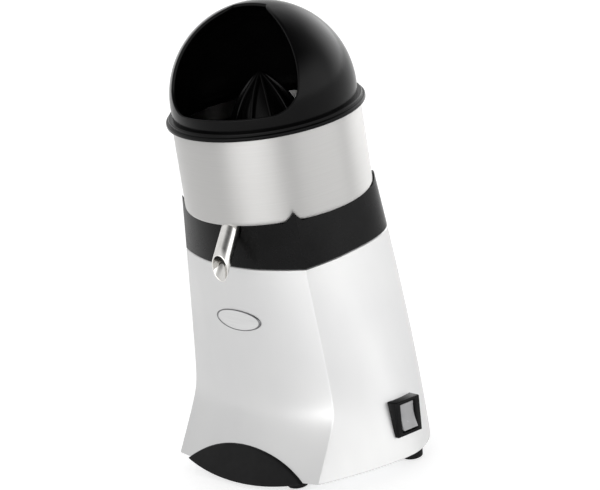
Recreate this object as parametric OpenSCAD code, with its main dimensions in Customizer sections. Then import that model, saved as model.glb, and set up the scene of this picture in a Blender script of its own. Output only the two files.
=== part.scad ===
// Electric citrus juicer: metal shell with a motor, a lift-off steel bowl with strainer and
// spinning cone, and a domed splash cover. Millimetres, +Z up, front towards -Y.
// The origin is on the motor axis at the table.

/* [Shell] */
// Height of the rubber feet that show under the shell
foot_h = 9; // [7:0.5:11]
// Height of the soft kink below which the toe flares forward
kink_z = 53; // [48:1:58]
// Height of the seam between the metal shell and the collar
seam_z = 165; // [160:1:170]
// Height of the bowl seat on top of the collar
seat_z = 200; // [195:1:206]
// Forward reach of the front face under the bowl
front_reach = 61; // [58:0.5:66]
// Half width of the shell at its widest, at the bottom edge
base_half_w = 101; // [96:0.5:108]
// Half width of the collar at the bowl seat
seat_half_w = 61; // [60:0.5:64]
// Rearward reach of the collar at the bowl seat
seat_rear = 65; // [63:0.5:70]
// Rearward reach of the shell at the bottom edge
base_rear = 70; // [67:0.5:78]
// Wall of the cast shell
shell_wall = 3; // [2.5:0.25:4]
// Thickness of the shell's top deck, which carries the motor
deck_t = 5; // [4:0.5:7]

/* [Collar] */
// Wall of the moulded collar
collar_wall = 3; // [2:0.25:4]
// Thickness of the bowl seat
seat_t = 4; // [3:0.5:6]
// Height of the corner horns that centre the bowl
horn_h = 10.5; // [5:0.5:14]
// How far a horn's tip stands out past the bowl wall
horn_wall = 3.6; // [3:0.1:5]
// Direction of the front ridges, in degrees from the front
ridge_angle = 53.9; // [50:0.1:58]

/* [Bowl] */
// Outer radius of the bowl
bowl_r = 70; // [68:0.5:72]
// Height of the bowl from its seat to its rim
bowl_h = 66; // [60:1:74]
// Thickness of the steel sheet of the bowl
bowl_t = 1.2; // [0.8:0.1:2]
// Rounding of the bowl's bottom edge
bowl_edge = 4; // [3:0.5:6]
// Turn of the bowl in its seat, which swings the spout to the right
bowl_turn = 10; // [0:1:20]
// Outer radius of the spout tube
spout_r = 7; // [5:0.25:8]
// Wall of the spout tube
spout_wall = 0.8; // [0.6:0.1:1.5]
// Slope of the spout below the horizontal, in degrees
spout_slope = 49; // [45:1:55]
// How far the spout's mouth stands out past the bowl wall
spout_out = 14.5; // [10:0.5:22]

/* [Squeezing] */
// How far the strainer's rim stays inside the bowl's outside
strainer_inset = 6; // [5:0.5:10]
// Depth of the strainer basket
strainer_h = 22; // [18:1:24]
// Thickness of the strainer sheet
strainer_t = 1; // [0.8:0.1:1.5]
// Radius of a strainer hole
strainer_hole_r = 1.6; // [1:0.1:2]
// Radius of the squeezing cone over its ribs
cone_r = 30; // [26:0.5:34]
// Height of the squeezing cone
cone_h = 56; // [48:1:60]
// Number of ribs on the cone
cone_ribs = 10; // [6:1:14]
// Height of the ribs above the cone's core
rib_h = 3.5; // [2:0.25:5]

/* [Dome] */
// How far the splash dome stays inside the bowl's outside
dome_inset = 1; // [0.5:0.25:4]
// Wall of the dome
dome_wall = 2.5; // [2:0.25:3.5]
// Height of the dome's centre above the bowl rim
dome_rise = 13; // [9:0.5:16]
// How far the dome's lower flange stands out past the bowl
flange_out = 4; // [2.5:0.5:8]
// Thickness of the lower flange
flange_t = 3; // [2:0.25:5]
// How far the arched top of the opening stays inside the dome
arch_inset = 17.5; // [15:0.5:25]
// Radius of the lower corners of the opening
arch_corner = 16; // [10:0.5:20]
// Height of the opening's sill above the dome's centre
sill_h = 2; // [0:0.5:6]
// Turn of the dome on the bowl, which swings the opening to the right
dome_turn = 19; // [0:1:40]

/* [Motor] */
// Radius of the motor shaft
shaft_r = 6; // [5:0.25:7]
// Height of the shaft's top end above the bowl seat
shaft_top = 62; // [52:1:70]
// Outer radius of the stator core
stator_r = 42; // [38:0.5:44]
// Height of the stator stack
stator_h = 50; // [40:1:54]
// Height of each motor end bell
bell_h = 22; // [20:0.5:24]
// Outer radius of the ball bearings
bearing_r = 16; // [15:0.5:18]
// Width of the ball bearings
bearing_w = 10; // [8:0.5:12]
// Outer radius of the cooling fan
fan_r = 36; // [30:0.5:40]

/* [Switch] */
// Height of the switch centre above the table
switch_z = 38.5; // [34:0.5:42]
// Width of the switch bezel along the side
bezel_w = 25; // [22:0.5:28]
// Height of the switch bezel
bezel_h = 27; // [25:0.5:33]
// How far the bezel stands out of the side
bezel_out = 5.5; // [5:0.5:8]
// Width of the rocker
rocker_w = 14; // [12:0.5:16]
// Height of the rocker
rocker_h = 19.6; // [18:0.2:22]
// Tilt of the rocker to either side of its middle, in degrees
rocker_tilt = 9; // [6:0.5:11]

/* [Fittings] */
// Length of the bare oval badge
badge_w = 46; // [36:1:54]
// Height of the bare oval badge
badge_h = 16; // [12:0.5:20]
// Height of the badge centre above the table
badge_z = 123; // [110:1:135]
// Half length of the plaque on the toe
plaque_half_w = 60; // [50:1:64]
// Height of the plaque's top above its tips
plaque_rise = 19; // [14:0.5:22]
// How far the plaque droops below its tips
plaque_droop = 6.5; // [4:0.5:7]
// Radius of a rubber foot
foot_r = 8.5; // [7:0.5:10]
// Bore of the cord gland
gland_bore_r = 3.75; // [3:0.25:5]
// Height of the cord gland above the table
gland_z = 30; // [27:1:40]

/* [Hidden] */
$fn = 96;

// Small overlap of a cut past the face that it leaves
cut = 0.5;
// Running clearance of a pin or shaft in its hole
run_gap = 0.05;
// Clearance of a piece that drops into another by hand
drop_gap = 0.4;
// Clearance of a screw in a through hole
screw_gap = 0.2;

// Shell outline: how each reach changes with the height
corner_r = bowl_r + horn_wall;
corner_x = corner_r * sin(ridge_angle);
corner_y = corner_r * cos(ridge_angle);
// Growth of the corner's half width per millimetre down to the kink
corner_splay = 0.0946;
// Growth of the corner's and the front face's forward reach per millimetre
corner_rake = 0.0197;
front_rake = 0.004;
// Extra forward reach per millimetre below the kink, at the corners and at the middle
toe_corner = 0.632;
toe_middle = 0.46;
// Softness of the kink
kink_soft = 10;
// Place of the widest point behind or in front of the motor axis at the seat
widest_y = -12;
// Squareness of the rear outline at the seat and at the bottom edge
rear_square_top = 3.6;
rear_square_base = 1.85;
// Bow of the side between the ridge and the widest point
side_bow = 1.6;
front_steps = 14;
side_steps = 7;
rear_steps = 12;

function lerp(a, b, t) = a + (b - a) * t;
function drop(z) = (seat_z - z) / (seat_z - foot_h);
function soft(u) = (u + sqrt(u * u + kink_soft * kink_soft)) / 2;
function ridge_x(z) = corner_x + corner_splay * (seat_z - z - soft(kink_z - z));
function ridge_y(z) = corner_y + corner_rake * (seat_z - z) + toe_corner * soft(kink_z - z);
function front_y(z) = front_reach + front_rake * (seat_z - z) + toe_middle * soft(kink_z - z);
function half_w(z) = lerp(seat_half_w, base_half_w, drop(z));
function wide_y(z) = lerp(widest_y, 0, drop(z));
function rear_y(z) = lerp(seat_rear, base_rear, drop(z));
function squareness(z) = lerp(rear_square_top, rear_square_base, drop(z));

// Forward reach of the front face at a height and a place across it
function face_y(x, z, grow = 0) =
    front_y(z) + grow - (front_y(z) - ridge_y(z)) * pow(x / (ridge_x(z) + grow), 2);

// Right half of the outline at a height, from the front middle to the rear middle
function half_outline(z, grow) =
    let (w = ridge_x(z) + grow, f = ridge_y(z) + grow, a = max(half_w(z) + grow, w),
        y0 = wide_y(z), yr = rear_y(z) + grow, n = squareness(z))
    concat(
        [for (i = [0 : front_steps - 1]) let (x = w * i / front_steps) [x, -face_y(x, z, grow)]],
        [for (i = [0 : side_steps - 1]) let (t = i / side_steps)
            [a - (a - w) * pow(1 - t, side_bow), lerp(-f, y0, t)]],
        [for (i = [0 : rear_steps]) let (t = 90 * i / rear_steps)
            [a * pow(max(cos(t), 0), 2 / n), y0 + (yr - y0) * pow(sin(t), 2 / n)]]);

// Whole outline, counter-clockwise from the front middle
function outline(z, grow = 0) =
    let (h = half_outline(z, grow), last = len(h) - 1)
    concat(h, [for (i = [last - 1 : -1 : 1]) [-h[i][0], h[i][1]]]);

// Solid whose sides follow the outline through a list of heights
module loft(heights, grow = 0) {
    rings = [for (z = heights) [for (p = outline(z, grow)) [p[0], p[1], z]]];
    n = len(rings[0]);
    m = len(rings);
    polyhedron(
        points = [for (r = rings) each r],
        faces = concat(
            [[for (i = [0 : n - 1]) i]],
            [for (k = [0 : m - 2]) for (i = [0 : n - 1])
                [k * n + i, (k + 1) * n + i, (k + 1) * n + (i + 1) % n]],
            [for (k = [0 : m - 2]) for (i = [0 : n - 1])
                [k * n + i, (k + 1) * n + (i + 1) % n, k * n + (i + 1) % n]],
            [[for (i = [n - 1 : -1 : 0]) (m - 1) * n + i]]));
}

// Heights at which the flared lower shell needs a ring
toe_step = 6;
toe_top = kink_z + 5 * toe_step;
toe_heights = [for (i = [-4, -2, -1, 0, 1, 2.5, 5]) kink_z + i * toe_step];

// Stack of the motor, hung under the deck
deck_z = seam_z - deck_t;
stator_z = deck_z - bell_h - stator_h;
lower_bell_z = stator_z - bell_h;
bell_r = stator_r + 2;
bell_rim = 4.5;
bell_floor = 4;
bearing_lip = 2;
bearing_wall = 3.5;
lip_r = shaft_r + 4;
upper_bearing_z = deck_z - bearing_lip - bearing_w;
lower_bearing_z = lower_bell_z + bearing_lip;
race_r = (bearing_r + shaft_r) / 2;
ball_r = (bearing_r - shaft_r) * 0.3;
race_t = (bearing_r - shaft_r) * 0.26;
ball_gap = 0.08;
ball_count = 7;
cage_t = 2;
circlip_t = 1.2;
circlip_r = shaft_r + 2;
rotor_r = stator_r * 0.55;
air_gap = 0.5;
bolt_r = 2.5;
bolt_ring = bell_r + 5;
bolt_grip = deck_t - 1.2;
lug_r = bolt_r + 3.5;
lug_h = 10;
bolt_head_h = 3.5;
bolt_head_r = 4.6;
fan_h = 12;
fan_plate = 2;
fan_gap = 4;
fan_hub_r = shaft_r + 4;
fan_blades = 8;
shaft_bottom = lower_bell_z - fan_gap - fan_h - 3;
shaft_end = seat_z + shaft_top;
winding_in = rotor_r + 3;
winding_out = bell_r - bell_rim - 2.5;
winding_h = 13;

// Collar hub with its shaft seal
hub_r = 18;
hub_top = seat_z + 12;
seal_r = 14;
seal_h = 7;
seal_skin = 3;
seal_lip = 1.5;
hub_hole_r = shaft_r + 3;
hub_h = 22;
boss_r = 4.5;
boss_places = [[48, -32], [48, 36]];
collar_screw_r = 2;
collar_screw_grip = 12;
screw_head_r = 3.6;
screw_head_h = 2.6;

// Bowl centre and the strainer that sits on it
rim_z = seat_z + bowl_h;
bowl_in = bowl_r - bowl_t;
dimple_in = hub_r + 1.2;
dimple_h = hub_top - seat_z + 3;
pin_r = 2;
pin_half = shaft_r + 2;
pin_gap = 0.2;
pin_drop = 12;
pin_z = shaft_end - pin_drop;
chimney_in = pin_half + 0.5;
chimney_out = chimney_in + bowl_t;
chimney_h = 40;
chimney_z = seat_z + chimney_h;
strainer_hub_in = chimney_out + drop_gap;
strainer_hub_out = strainer_hub_in + 1.5;
strainer_sink = 14;
strainer_flare = 5;
strainer_r = bowl_r - strainer_inset;
strainer_floor_z = chimney_z - strainer_sink;
strainer_floor_r = strainer_r - strainer_flare;
strainer_pitch = 5.2;
cone_z = chimney_z + strainer_t + drop_gap;
cone_brim_t = 2;
cone_brim_r = cone_r + 2;
cone_core_r = cone_r - rib_h;
cone_core_h = cone_h - rib_h * 1.3;
cone_shell = 2.5;
cone_boss_wall = 4.5;
cone_boss_r = shaft_r + cone_boss_wall;
rib_t = 2.4;

// Spout: it leaves the bowl's floor inside the rounded edge and lies in a notch of the collar
spout_dir = [cos(spout_slope), -sin(spout_slope)];
spout_inset = 0.5;
spout_drop = 1.5;
spout_root = [bowl_r - spout_r - spout_inset, seat_z - spout_drop];
spout_bore_r = spout_r - spout_wall;
spout_reach = bowl_r + spout_out;
notch_gap = 1;
spout_back = 20;
spout_over = 12;
spout_clip = 100;
spout_len = (spout_reach - spout_root[0]) / spout_dir[0] + spout_over;

// Dome
dome_z = rim_z + dome_rise;
dome_r = bowl_r - dome_inset;
dome_in = dome_r - dome_wall;
arch_r = dome_r - arch_inset;
skirt_r = bowl_in - drop_gap;
skirt_t = 2;
skirt_h = 6;
flange_r = bowl_r + flange_out;
step_r = flange_r - flange_out / 2;
step_t = 2.5;

// Switch in the right side, rolled a little towards the front at its lower end
switch_turn = -2;
switch_roll = -4;
switch_y = 1;
switch_x = half_w(switch_z) - 0.5;
bezel_in = 6;
pocket_floor = -5;
opening_gap = 0.2;
pocket_gap = 0.6;
rocker_gap = 0.3;
pivot_x = 1;
pivot_r = 1.4;
pivot_len = 1.4;
rocker_rise = 0.4;
rocker_dish = 1.4;
rocker_heel = 2.5;
rocker_heel_h = 3;
rocker_shoulder = 3;
switch_body_depth = 20;
switch_body_inset = 2;
tab_l = 7;
tab_w = 6;
tab_t = 0.8;
tab_z = 7;
tab_end = bezel_in + switch_body_depth + tab_l;

// Badge and plaque
badge_t = 0.8;
plaque_t = 2.4;

// Base plate and feet
plate_z = foot_h + 1;
plate_t = 2;
plate_gap = 0.4;
foot_inset = 15;
front_foot_inset = 59;
front_foot_out = 5;
side_foot_y = 12;
foot_places = [[base_half_w - front_foot_inset, -front_reach - front_foot_out],
    [base_half_w - foot_inset, side_foot_y]];
pillar_r = 5.5;
pillar_top = 46;
pillar_skin = 1;
foot_screw_r = 1.8;
foot_screw_grip = 9;
foot_recess_r = 4.4;
foot_recess_h = 5;
vent_l = 26;
vent_w = 4;
vent_pitch = 9;

// Cord gland at the rear
gland_pad_out = 2;
gland_pad_in = 7;
gland_pad_r = 12;
gland_stub_r = 7.5;
gland_flange_r = 11;
gland_flange_t = 5;
gland_nut_len = 10;
cap_nut_r = gland_flange_r - 1.5;
cap_nut_taper = 2;
lock_nut_t = 5;
gland_end = 2;
gland_reach = 20;
gland_seat_y = rear_y(gland_z) + gland_pad_out;
gland_inner_y = rear_y(gland_z) - gland_pad_in;

// Electrics on the base plate
cap_inset = 35;
cap_place = [cap_inset - base_half_w, 2];
cap_r = 15;
cap_h = 48;
cap_tab = [0.8, 6, 8];
cap_tab_x = 5;
strap_t = 1.2;
strap_z = 22;
strap_h = 12;
strap_foot = 12;
block_size = [44, 16, 14];
block_y = 40;
block_wells = 4;
well_r = 2.4;
well_depth = 5;
lead_r = 1.3;
lead_sides = 8;
lead_steps = 18;
lead_gap = 0.2;
lead_pull = 30;
block_top = plate_z + plate_t + block_size[2];

// Ring about the motor axis
module ring(r_out, r_in, h) {
    difference() {
        cylinder(r = r_out, h = h);
        translate([0, 0, -cut]) cylinder(r = r_in, h = h + 2 * cut);
    }
}

// Copies of the children at the four corners of a mirrored layout
module corners(places) {
    for (p = places)
        for (side = [-1, 1])
            translate([side * p[0], p[1], 0]) children();
}

// Copies of the children at the motor's four bolts
module at_bolts() {
    for (i = [0 : 3]) rotate(45 + 90 * i) translate([bolt_ring, 0, 0]) children();
}

// Frame of the switch: +X points out of the side
module at_switch() {
    translate([switch_x, switch_y, switch_z]) rotate(switch_turn) rotate([switch_roll, 0, 0]) children();
}

// Frame of the gland: +Z points out of the rear
module at_gland(y) {
    translate([0, y, gland_z]) rotate([-90, 0, 0]) children();
}

// Frame of the spout: +Z runs down the tube, from the bowl's edge
module at_spout() {
    rotate(bowl_turn - 90)
        translate([spout_root[0], 0, spout_root[1]])
            rotate([0, 90 + spout_slope, 0]) children();
}

// Half space in front of a distance from the axis along the spout
module beyond_spout(r) {
    rotate(bowl_turn - 90) translate([r, -spout_clip / 2, seat_z - spout_clip])
        cube([spout_clip, spout_clip, 2 * spout_clip]);
}

module housing() {
    color("gainsboro")
    difference() {
        union() {
            difference() {
                loft(concat([foot_h], toe_heights, [seam_z]));
                loft(concat([foot_h - cut], toe_heights, [deck_z]), -shell_wall);
            }
            intersection() {
                corners(foot_places)
                    translate([0, 0, plate_z + plate_t]) cylinder(r = pillar_r, h = pillar_top);
                loft(concat([foot_h], toe_heights, [deck_z]), -pillar_skin);
            }
            at_gland(gland_inner_y) cylinder(r = gland_pad_r, h = gland_pad_in + gland_pad_out);
        }
        corners(foot_places)
            translate([0, 0, foot_h])
                cylinder(r = foot_screw_r, h = plate_z + plate_t - foot_h + foot_screw_grip);
        at_bolts() translate([0, 0, deck_z - cut]) cylinder(r = bolt_r, h = bolt_grip + cut);
        corners(boss_places)
            translate([0, 0, deck_z - cut]) cylinder(r = collar_screw_r + screw_gap, h = deck_t + 2 * cut);
        translate([0, 0, deck_z - cut]) cylinder(r = hub_r + 2, h = deck_t + 2 * cut);
        at_gland(gland_inner_y - cut)
            cylinder(r = gland_stub_r, h = gland_pad_in + gland_pad_out + 2 * cut);
        at_switch()
            cube([2 * (bezel_in + switch_body_depth), bezel_w + opening_gap, bezel_h + opening_gap],
                center = true);
    }
}

// Flared recess that leaves the horns standing at the corners
module seat_recess() {
    difference() {
        translate([0, 0, seat_z])
            cylinder(r1 = bowl_r + drop_gap, r2 = bowl_r + drop_gap + horn_wall, h = horn_h + cut);
        translate([0, 0, seat_z - cut]) cylinder(r = hub_r, h = horn_h + 3 * cut);
    }
}

module collar() {
    color([0.09, 0.09, 0.1])
    difference() {
        union() {
            difference() {
                loft([seam_z, seat_z, seat_z + horn_h]);
                loft([seam_z - cut, seat_z - seat_t], -collar_wall);
                seat_recess();
            }
            translate([0, 0, hub_top - hub_h - seat_t]) cylinder(r = hub_r, h = hub_h + seat_t);
            corners(boss_places) translate([0, 0, seam_z]) cylinder(r = boss_r, h = seat_z - seam_z - 1);
        }
        translate([0, 0, hub_top - seal_h]) cylinder(r = seal_r, h = seal_h + cut);
        translate([0, 0, seam_z]) cylinder(r = hub_hole_r, h = hub_top - seam_z);
        corners(boss_places)
            translate([0, 0, seam_z - cut]) cylinder(r = collar_screw_r, h = collar_screw_grip + cut);
        at_spout() translate([0, 0, -spout_back])
            cylinder(r = spout_r + notch_gap, h = spout_back + spout_len);
    }
}

// Skin of the shell between two offsets, limited to a range of heights
module skin(heights, inner, outer) {
    difference() {
        loft(heights, outer);
        loft(concat([heights[0] - cut], heights, [heights[len(heights) - 1] + cut]), inner);
    }
}

module badge() {
    color("silver")
    intersection() {
        skin([toe_top, seam_z], 0, badge_t);
        translate([0, 0, badge_z]) rotate([90, 0, 0]) linear_extrude(2 * front_reach)
            scale([badge_w, badge_h]) circle(0.5);
    }
}

module front_plaque() {
    upper_r = (pow(plaque_half_w, 2) + pow(plaque_rise, 2)) / (2 * plaque_rise);
    lower_r = (pow(plaque_half_w, 2) + pow(plaque_droop, 2)) / (2 * plaque_droop);
    color([0.08, 0.08, 0.09])
    intersection() {
        skin([foot_h - plaque_droop - cut, foot_h, toe_heights[0], toe_heights[1]], 0, plaque_t);
        translate([0, -ridge_y(seam_z) / 2, foot_h]) rotate([90, 0, 0])
            linear_extrude(front_y(0)) intersection() {
                translate([0, plaque_rise - upper_r]) circle(upper_r);
                translate([0, lower_r - plaque_droop]) circle(lower_r);
            }
    }
}

module base_plate() {
    color("darkgray")
    difference() {
        translate([0, 0, plate_z]) linear_extrude(plate_t)
            polygon(outline(plate_z + plate_t, -shell_wall - plate_gap));
        corners(foot_places)
            translate([0, 0, plate_z - cut]) cylinder(r = foot_screw_r + screw_gap, h = plate_t + 2 * cut);
        for (i = [-2 : 2])
            translate([i * vent_pitch - vent_w / 2, -vent_l - 8, plate_z - cut])
                cube([vent_w, vent_l, plate_t + 2 * cut]);
    }
}

module rubber_feet() {
    color([0.07, 0.07, 0.07])
    corners(foot_places) difference() {
        cylinder(r1 = foot_r - 0.8, r2 = foot_r, h = plate_z);
        translate([0, 0, -cut]) cylinder(r = foot_recess_r, h = foot_recess_h + cut);
        translate([0, 0, foot_recess_h - cut]) cylinder(r = foot_screw_r + screw_gap, h = plate_z);
    }
}

module foot_screws() {
    color("silver")
    corners(foot_places) {
        translate([0, 0, foot_recess_h - screw_head_h]) cylinder(r = screw_head_r, h = screw_head_h);
        translate([0, 0, foot_recess_h - cut])
            cylinder(r = foot_screw_r, h = plate_z + plate_t + foot_screw_grip - foot_recess_h);
    }
}

module collar_screws() {
    color("silver")
    corners(boss_places) {
        translate([0, 0, deck_z - screw_head_h]) cylinder(r = screw_head_r, h = screw_head_h);
        translate([0, 0, deck_z - cut])
            cylinder(r = collar_screw_r, h = deck_t + collar_screw_grip - 1 + cut);
    }
}

// Cup of a motor end bell, floor down, with its bearing pocket opening upwards
module end_bell() {
    difference() {
        union() {
            difference() {
                cylinder(r = bell_r, h = bell_h);
                translate([0, 0, bell_floor]) cylinder(r = bell_r - bell_rim, h = bell_h);
            }
            cylinder(r = bearing_r + bearing_wall, h = bearing_lip + bearing_w + 1);
            at_bolts() cylinder(r = lug_r, h = lug_h);
        }
        translate([0, 0, bearing_lip]) cylinder(r = bearing_r, h = bell_h);
        translate([0, 0, -cut]) cylinder(r = lip_r, h = bell_h);
        at_bolts() translate([0, 0, -cut]) cylinder(r = bolt_r + screw_gap, h = bell_h + 2 * cut);
    }
}

module lower_end_bell() {
    color("lightgray") translate([0, 0, lower_bell_z]) end_bell();
}

module upper_end_bell() {
    color("lightgray") translate([0, 0, deck_z]) mirror([0, 0, 1]) end_bell();
}

module stator_core() {
    color("slategray") translate([0, 0, stator_z]) ring(stator_r, rotor_r + air_gap, stator_h);
}

// One bundle of end turns, rounded at its end
module end_turns() {
    half = (winding_out - winding_in) / 2;
    rotate_extrude() {
        translate([winding_in, 0]) square([2 * half, winding_h - half]);
        translate([winding_in + half, winding_h - half]) circle(half);
    }
}

module stator_windings() {
    color("peru") {
        translate([0, 0, stator_z + stator_h]) end_turns();
        translate([0, 0, stator_z]) mirror([0, 0, 1]) end_turns();
    }
}

module motor_bolts() {
    color("silver")
    at_bolts() {
        translate([0, 0, lower_bell_z - bolt_head_h]) cylinder(r = bolt_head_r, h = bolt_head_h, $fn = 6);
        translate([0, 0, lower_bell_z - cut])
            cylinder(r = bolt_r, h = deck_z + bolt_grip - lower_bell_z + cut);
    }
}

// Circle in which the balls of a bearing roll
module ball_groove() {
    translate([0, 0, bearing_w / 2]) rotate_extrude() translate([race_r, 0]) circle(ball_r + ball_gap);
}

module outer_ring() {
    color("lightsteelblue")
    difference() {
        ring(bearing_r, bearing_r - race_t, bearing_w);
        ball_groove();
    }
}

module inner_ring() {
    color("lightsteelblue")
    difference() {
        ring(shaft_r + race_t, shaft_r, bearing_w);
        ball_groove();
    }
}

module ball_cage() {
    color("goldenrod")
    translate([0, 0, bearing_w / 2]) {
        translate([0, 0, -cage_t / 2]) ring(race_r + cage_t / 2, race_r - cage_t / 2, cage_t);
        for (i = [0 : ball_count - 1])
            rotate(360 * i / ball_count) translate([race_r, 0, 0]) sphere(ball_r);
    }
}

module upper_bearing_outer_ring() {
    translate([0, 0, upper_bearing_z]) outer_ring();
}

module lower_bearing_outer_ring() {
    translate([0, 0, lower_bearing_z]) outer_ring();
}

module upper_bearing_inner_ring() {
    translate([0, 0, upper_bearing_z]) inner_ring();
}

module lower_bearing_inner_ring() {
    translate([0, 0, lower_bearing_z]) inner_ring();
}

module upper_ball_cage() {
    translate([0, 0, upper_bearing_z]) ball_cage();
}

module lower_ball_cage() {
    translate([0, 0, lower_bearing_z]) ball_cage();
}

module shaft_circlips() {
    color("dimgray") {
        translate([0, 0, upper_bearing_z + bearing_w]) ring(circlip_r, shaft_r, circlip_t);
        translate([0, 0, lower_bearing_z - circlip_t]) ring(circlip_r, shaft_r, circlip_t);
    }
}

module shaft_seal() {
    color([0.15, 0.15, 0.15])
    translate([0, 0, hub_top - seal_h]) difference() {
        ring(seal_r, shaft_r + run_gap, seal_h);
        translate([0, 0, -cut]) ring(seal_r - seal_skin, shaft_r + seal_lip, seal_h / 2);
    }
}

module run_capacitor() {
    color("whitesmoke")
    translate([cap_place[0], cap_place[1], plate_z + plate_t]) {
        cylinder(r = cap_r, h = cap_h);
        for (side = [-1, 1])
            translate([side * cap_tab_x - cap_tab[0] / 2, -cap_tab[1] / 2, cap_h - cut]) cube(cap_tab);
    }
}

module capacitor_bracket() {
    color("silver")
    translate([cap_place[0], cap_place[1], 0]) {
        translate([0, 0, strap_z]) ring(cap_r + strap_t, cap_r, strap_h);
        translate([cap_r, -strap_foot / 2, plate_z + plate_t]) {
            cube([strap_t, strap_foot, strap_z + strap_h - plate_z - plate_t]);
            cube([strap_foot, strap_foot, strap_t]);
        }
    }
}

module terminal_block() {
    color("beige")
    translate([-block_size[0] / 2, block_y - block_size[1] / 2, plate_z + plate_t]) difference() {
        cube(block_size);
        for (i = [0 : block_wells - 1])
            translate([block_size[0] * (i + 0.5) / block_wells, block_size[1] / 2, block_size[2]])
                cylinder(r = well_r, h = 2 * well_depth, center = true);
    }
}

module switch_bezel() {
    pocket_h = rocker_h + 2 * pocket_gap + 2 * (bezel_out - pivot_x) * sin(rocker_tilt);
    pocket_w = rocker_w + 2 * rocker_gap;
    color([0.08, 0.08, 0.08])
    at_switch() difference() {
        translate([-bezel_in, -bezel_w / 2, -bezel_h / 2]) cube([bezel_in + bezel_out, bezel_w, bezel_h]);
        translate([pocket_floor, -pocket_w / 2, -pocket_h / 2])
            cube([bezel_out - pocket_floor + cut, pocket_w, pocket_h]);
        translate([pivot_x, 0, 0]) rotate([90, 0, 0])
            cylinder(r = pivot_r + run_gap, h = pocket_w + 2 * pivot_len, center = true);
    }
}

module switch_body() {
    body_w = bezel_w - 2 * switch_body_inset;
    body_h = bezel_h - 2 * switch_body_inset;
    color("darkslategray")
    at_switch() {
        translate([-bezel_in - switch_body_depth, -body_w / 2, -body_h / 2])
            cube([switch_body_depth, body_w, body_h]);
        for (side = [-1, 1])
            translate([-tab_end, -tab_w / 2, side * tab_z - tab_t / 2]) cube([tab_l + cut, tab_w, tab_t]);
    }
}

module rocker() {
    half = rocker_h / 2;
    face = bezel_out - pivot_x;
    color("gray")
    at_switch() translate([pivot_x, 0, 0]) rotate([0, -rocker_tilt, 0]) {
        rotate([90, 0, 0]) linear_extrude(rocker_w, center = true)
            polygon([[-rocker_heel, -rocker_heel_h], [rocker_shoulder, -half], [face + rocker_rise, -half],
                [face - rocker_dish, 0], [face + rocker_rise, half], [rocker_shoulder, half],
                [-rocker_heel, rocker_heel_h]]);
        rotate([90, 0, 0])
            cylinder(r = pivot_r, h = rocker_w + 2 * pivot_len, center = true);
    }
}

module cord_gland() {
    color([0.12, 0.12, 0.13])
    difference() {
        union() {
            at_gland(gland_seat_y) cylinder(r = gland_flange_r, h = gland_flange_t, $fn = 6);
            at_gland(gland_inner_y - lock_nut_t - gland_end)
                cylinder(r = gland_stub_r, h = gland_seat_y - gland_inner_y + lock_nut_t + gland_end + cut);
        }
        at_gland(gland_inner_y - gland_reach)
            cylinder(r = gland_bore_r, h = 2 * gland_reach + gland_pad_in + gland_pad_out);
    }
}

module gland_cap_nut() {
    color([0.12, 0.12, 0.13])
    at_gland(gland_seat_y + gland_flange_t) difference() {
        cylinder(r1 = cap_nut_r, r2 = cap_nut_r - cap_nut_taper, h = gland_nut_len);
        translate([0, 0, -cut]) cylinder(r = gland_bore_r, h = gland_nut_len + 2 * cut);
    }
}

module gland_lock_nut() {
    color([0.12, 0.12, 0.13])
    at_gland(gland_inner_y - lock_nut_t) difference() {
        cylinder(r = gland_flange_r, h = lock_nut_t, $fn = 6);
        translate([0, 0, -cut]) cylinder(r = gland_stub_r, h = lock_nut_t + 2 * cut);
    }
}

// Insulated lead swept along a list of points
module lead(path) {
    last = len(path) - 1;
    function along(i) = let (d = path[min(i + 1, last)] - path[max(i - 1, 0)]) d / norm(d);
    rings = [for (i = [0 : last])
        let (d = along(i), side = cross(d, [0.31, 0.17, 0.93]), u = side / norm(side), v = cross(d, u))
        [for (k = [0 : lead_sides - 1])
            path[i] + lead_r * (cos(360 * k / lead_sides) * u + sin(360 * k / lead_sides) * v)]];
    polyhedron(
        points = [for (r = rings) each r],
        faces = concat(
            [[for (k = [0 : lead_sides - 1]) k]],
            [for (i = [0 : last - 1]) for (k = [0 : lead_sides - 1]) let (next = (k + 1) % lead_sides)
                each [[i * lead_sides + k, (i + 1) * lead_sides + k, (i + 1) * lead_sides + next],
                    [i * lead_sides + k, (i + 1) * lead_sides + next, i * lead_sides + next]]],
            [[for (k = [lead_sides - 1 : -1 : 0]) last * lead_sides + k]]));
}

// Smooth curve between two points, with the pull of the lead at each end
function curve(a, pull_a, b, pull_b) =
    [for (i = [0 : lead_steps]) let (t = i / lead_steps, u = 1 - t)
        a * pow(u, 3) + (a + pull_a) * (3 * u * u * t) + (b + pull_b) * (3 * u * t * t) + b * pow(t, 3)];

// Place in the shell of a point in the frame of the switch
function from_switch(p) = let (shift = -p[1] * sin(switch_roll))
    [switch_x + p[0] * cos(switch_turn) - shift * sin(switch_turn),
        switch_y + p[0] * sin(switch_turn) + shift * cos(switch_turn), switch_z + p[1] * cos(switch_roll)];

module internal_wiring() {
    well_z = block_top - well_depth + lead_gap;
    down = [0, 0, lead_pull];
    cap_lead = [cap_place[0] + cap_tab_x, cap_place[1] + cap_tab[1] / 2 + lead_gap,
        plate_z + plate_t + cap_h + cap_tab[2] / 2];
    motor_lead = [0, bell_r + lead_gap, lower_bell_z + bell_h / 2];
    function well(i) = [block_size[0] * ((i + 0.5) / block_wells - 0.5), block_y, well_z];
    color("saddlebrown") {
        lead(curve(cap_lead, [0, lead_pull / 2, 0], well(0), down));
        lead(curve(motor_lead, [0, lead_pull / 2, 0], well(1), down));
        lead(curve(from_switch([-tab_end - lead_gap, tab_z]), [-lead_pull, 0, 0], well(2), down));
        lead(curve(from_switch([-tab_end - lead_gap, -tab_z]), [-lead_pull, 0, 0], well(3), down));
    }
}

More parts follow.
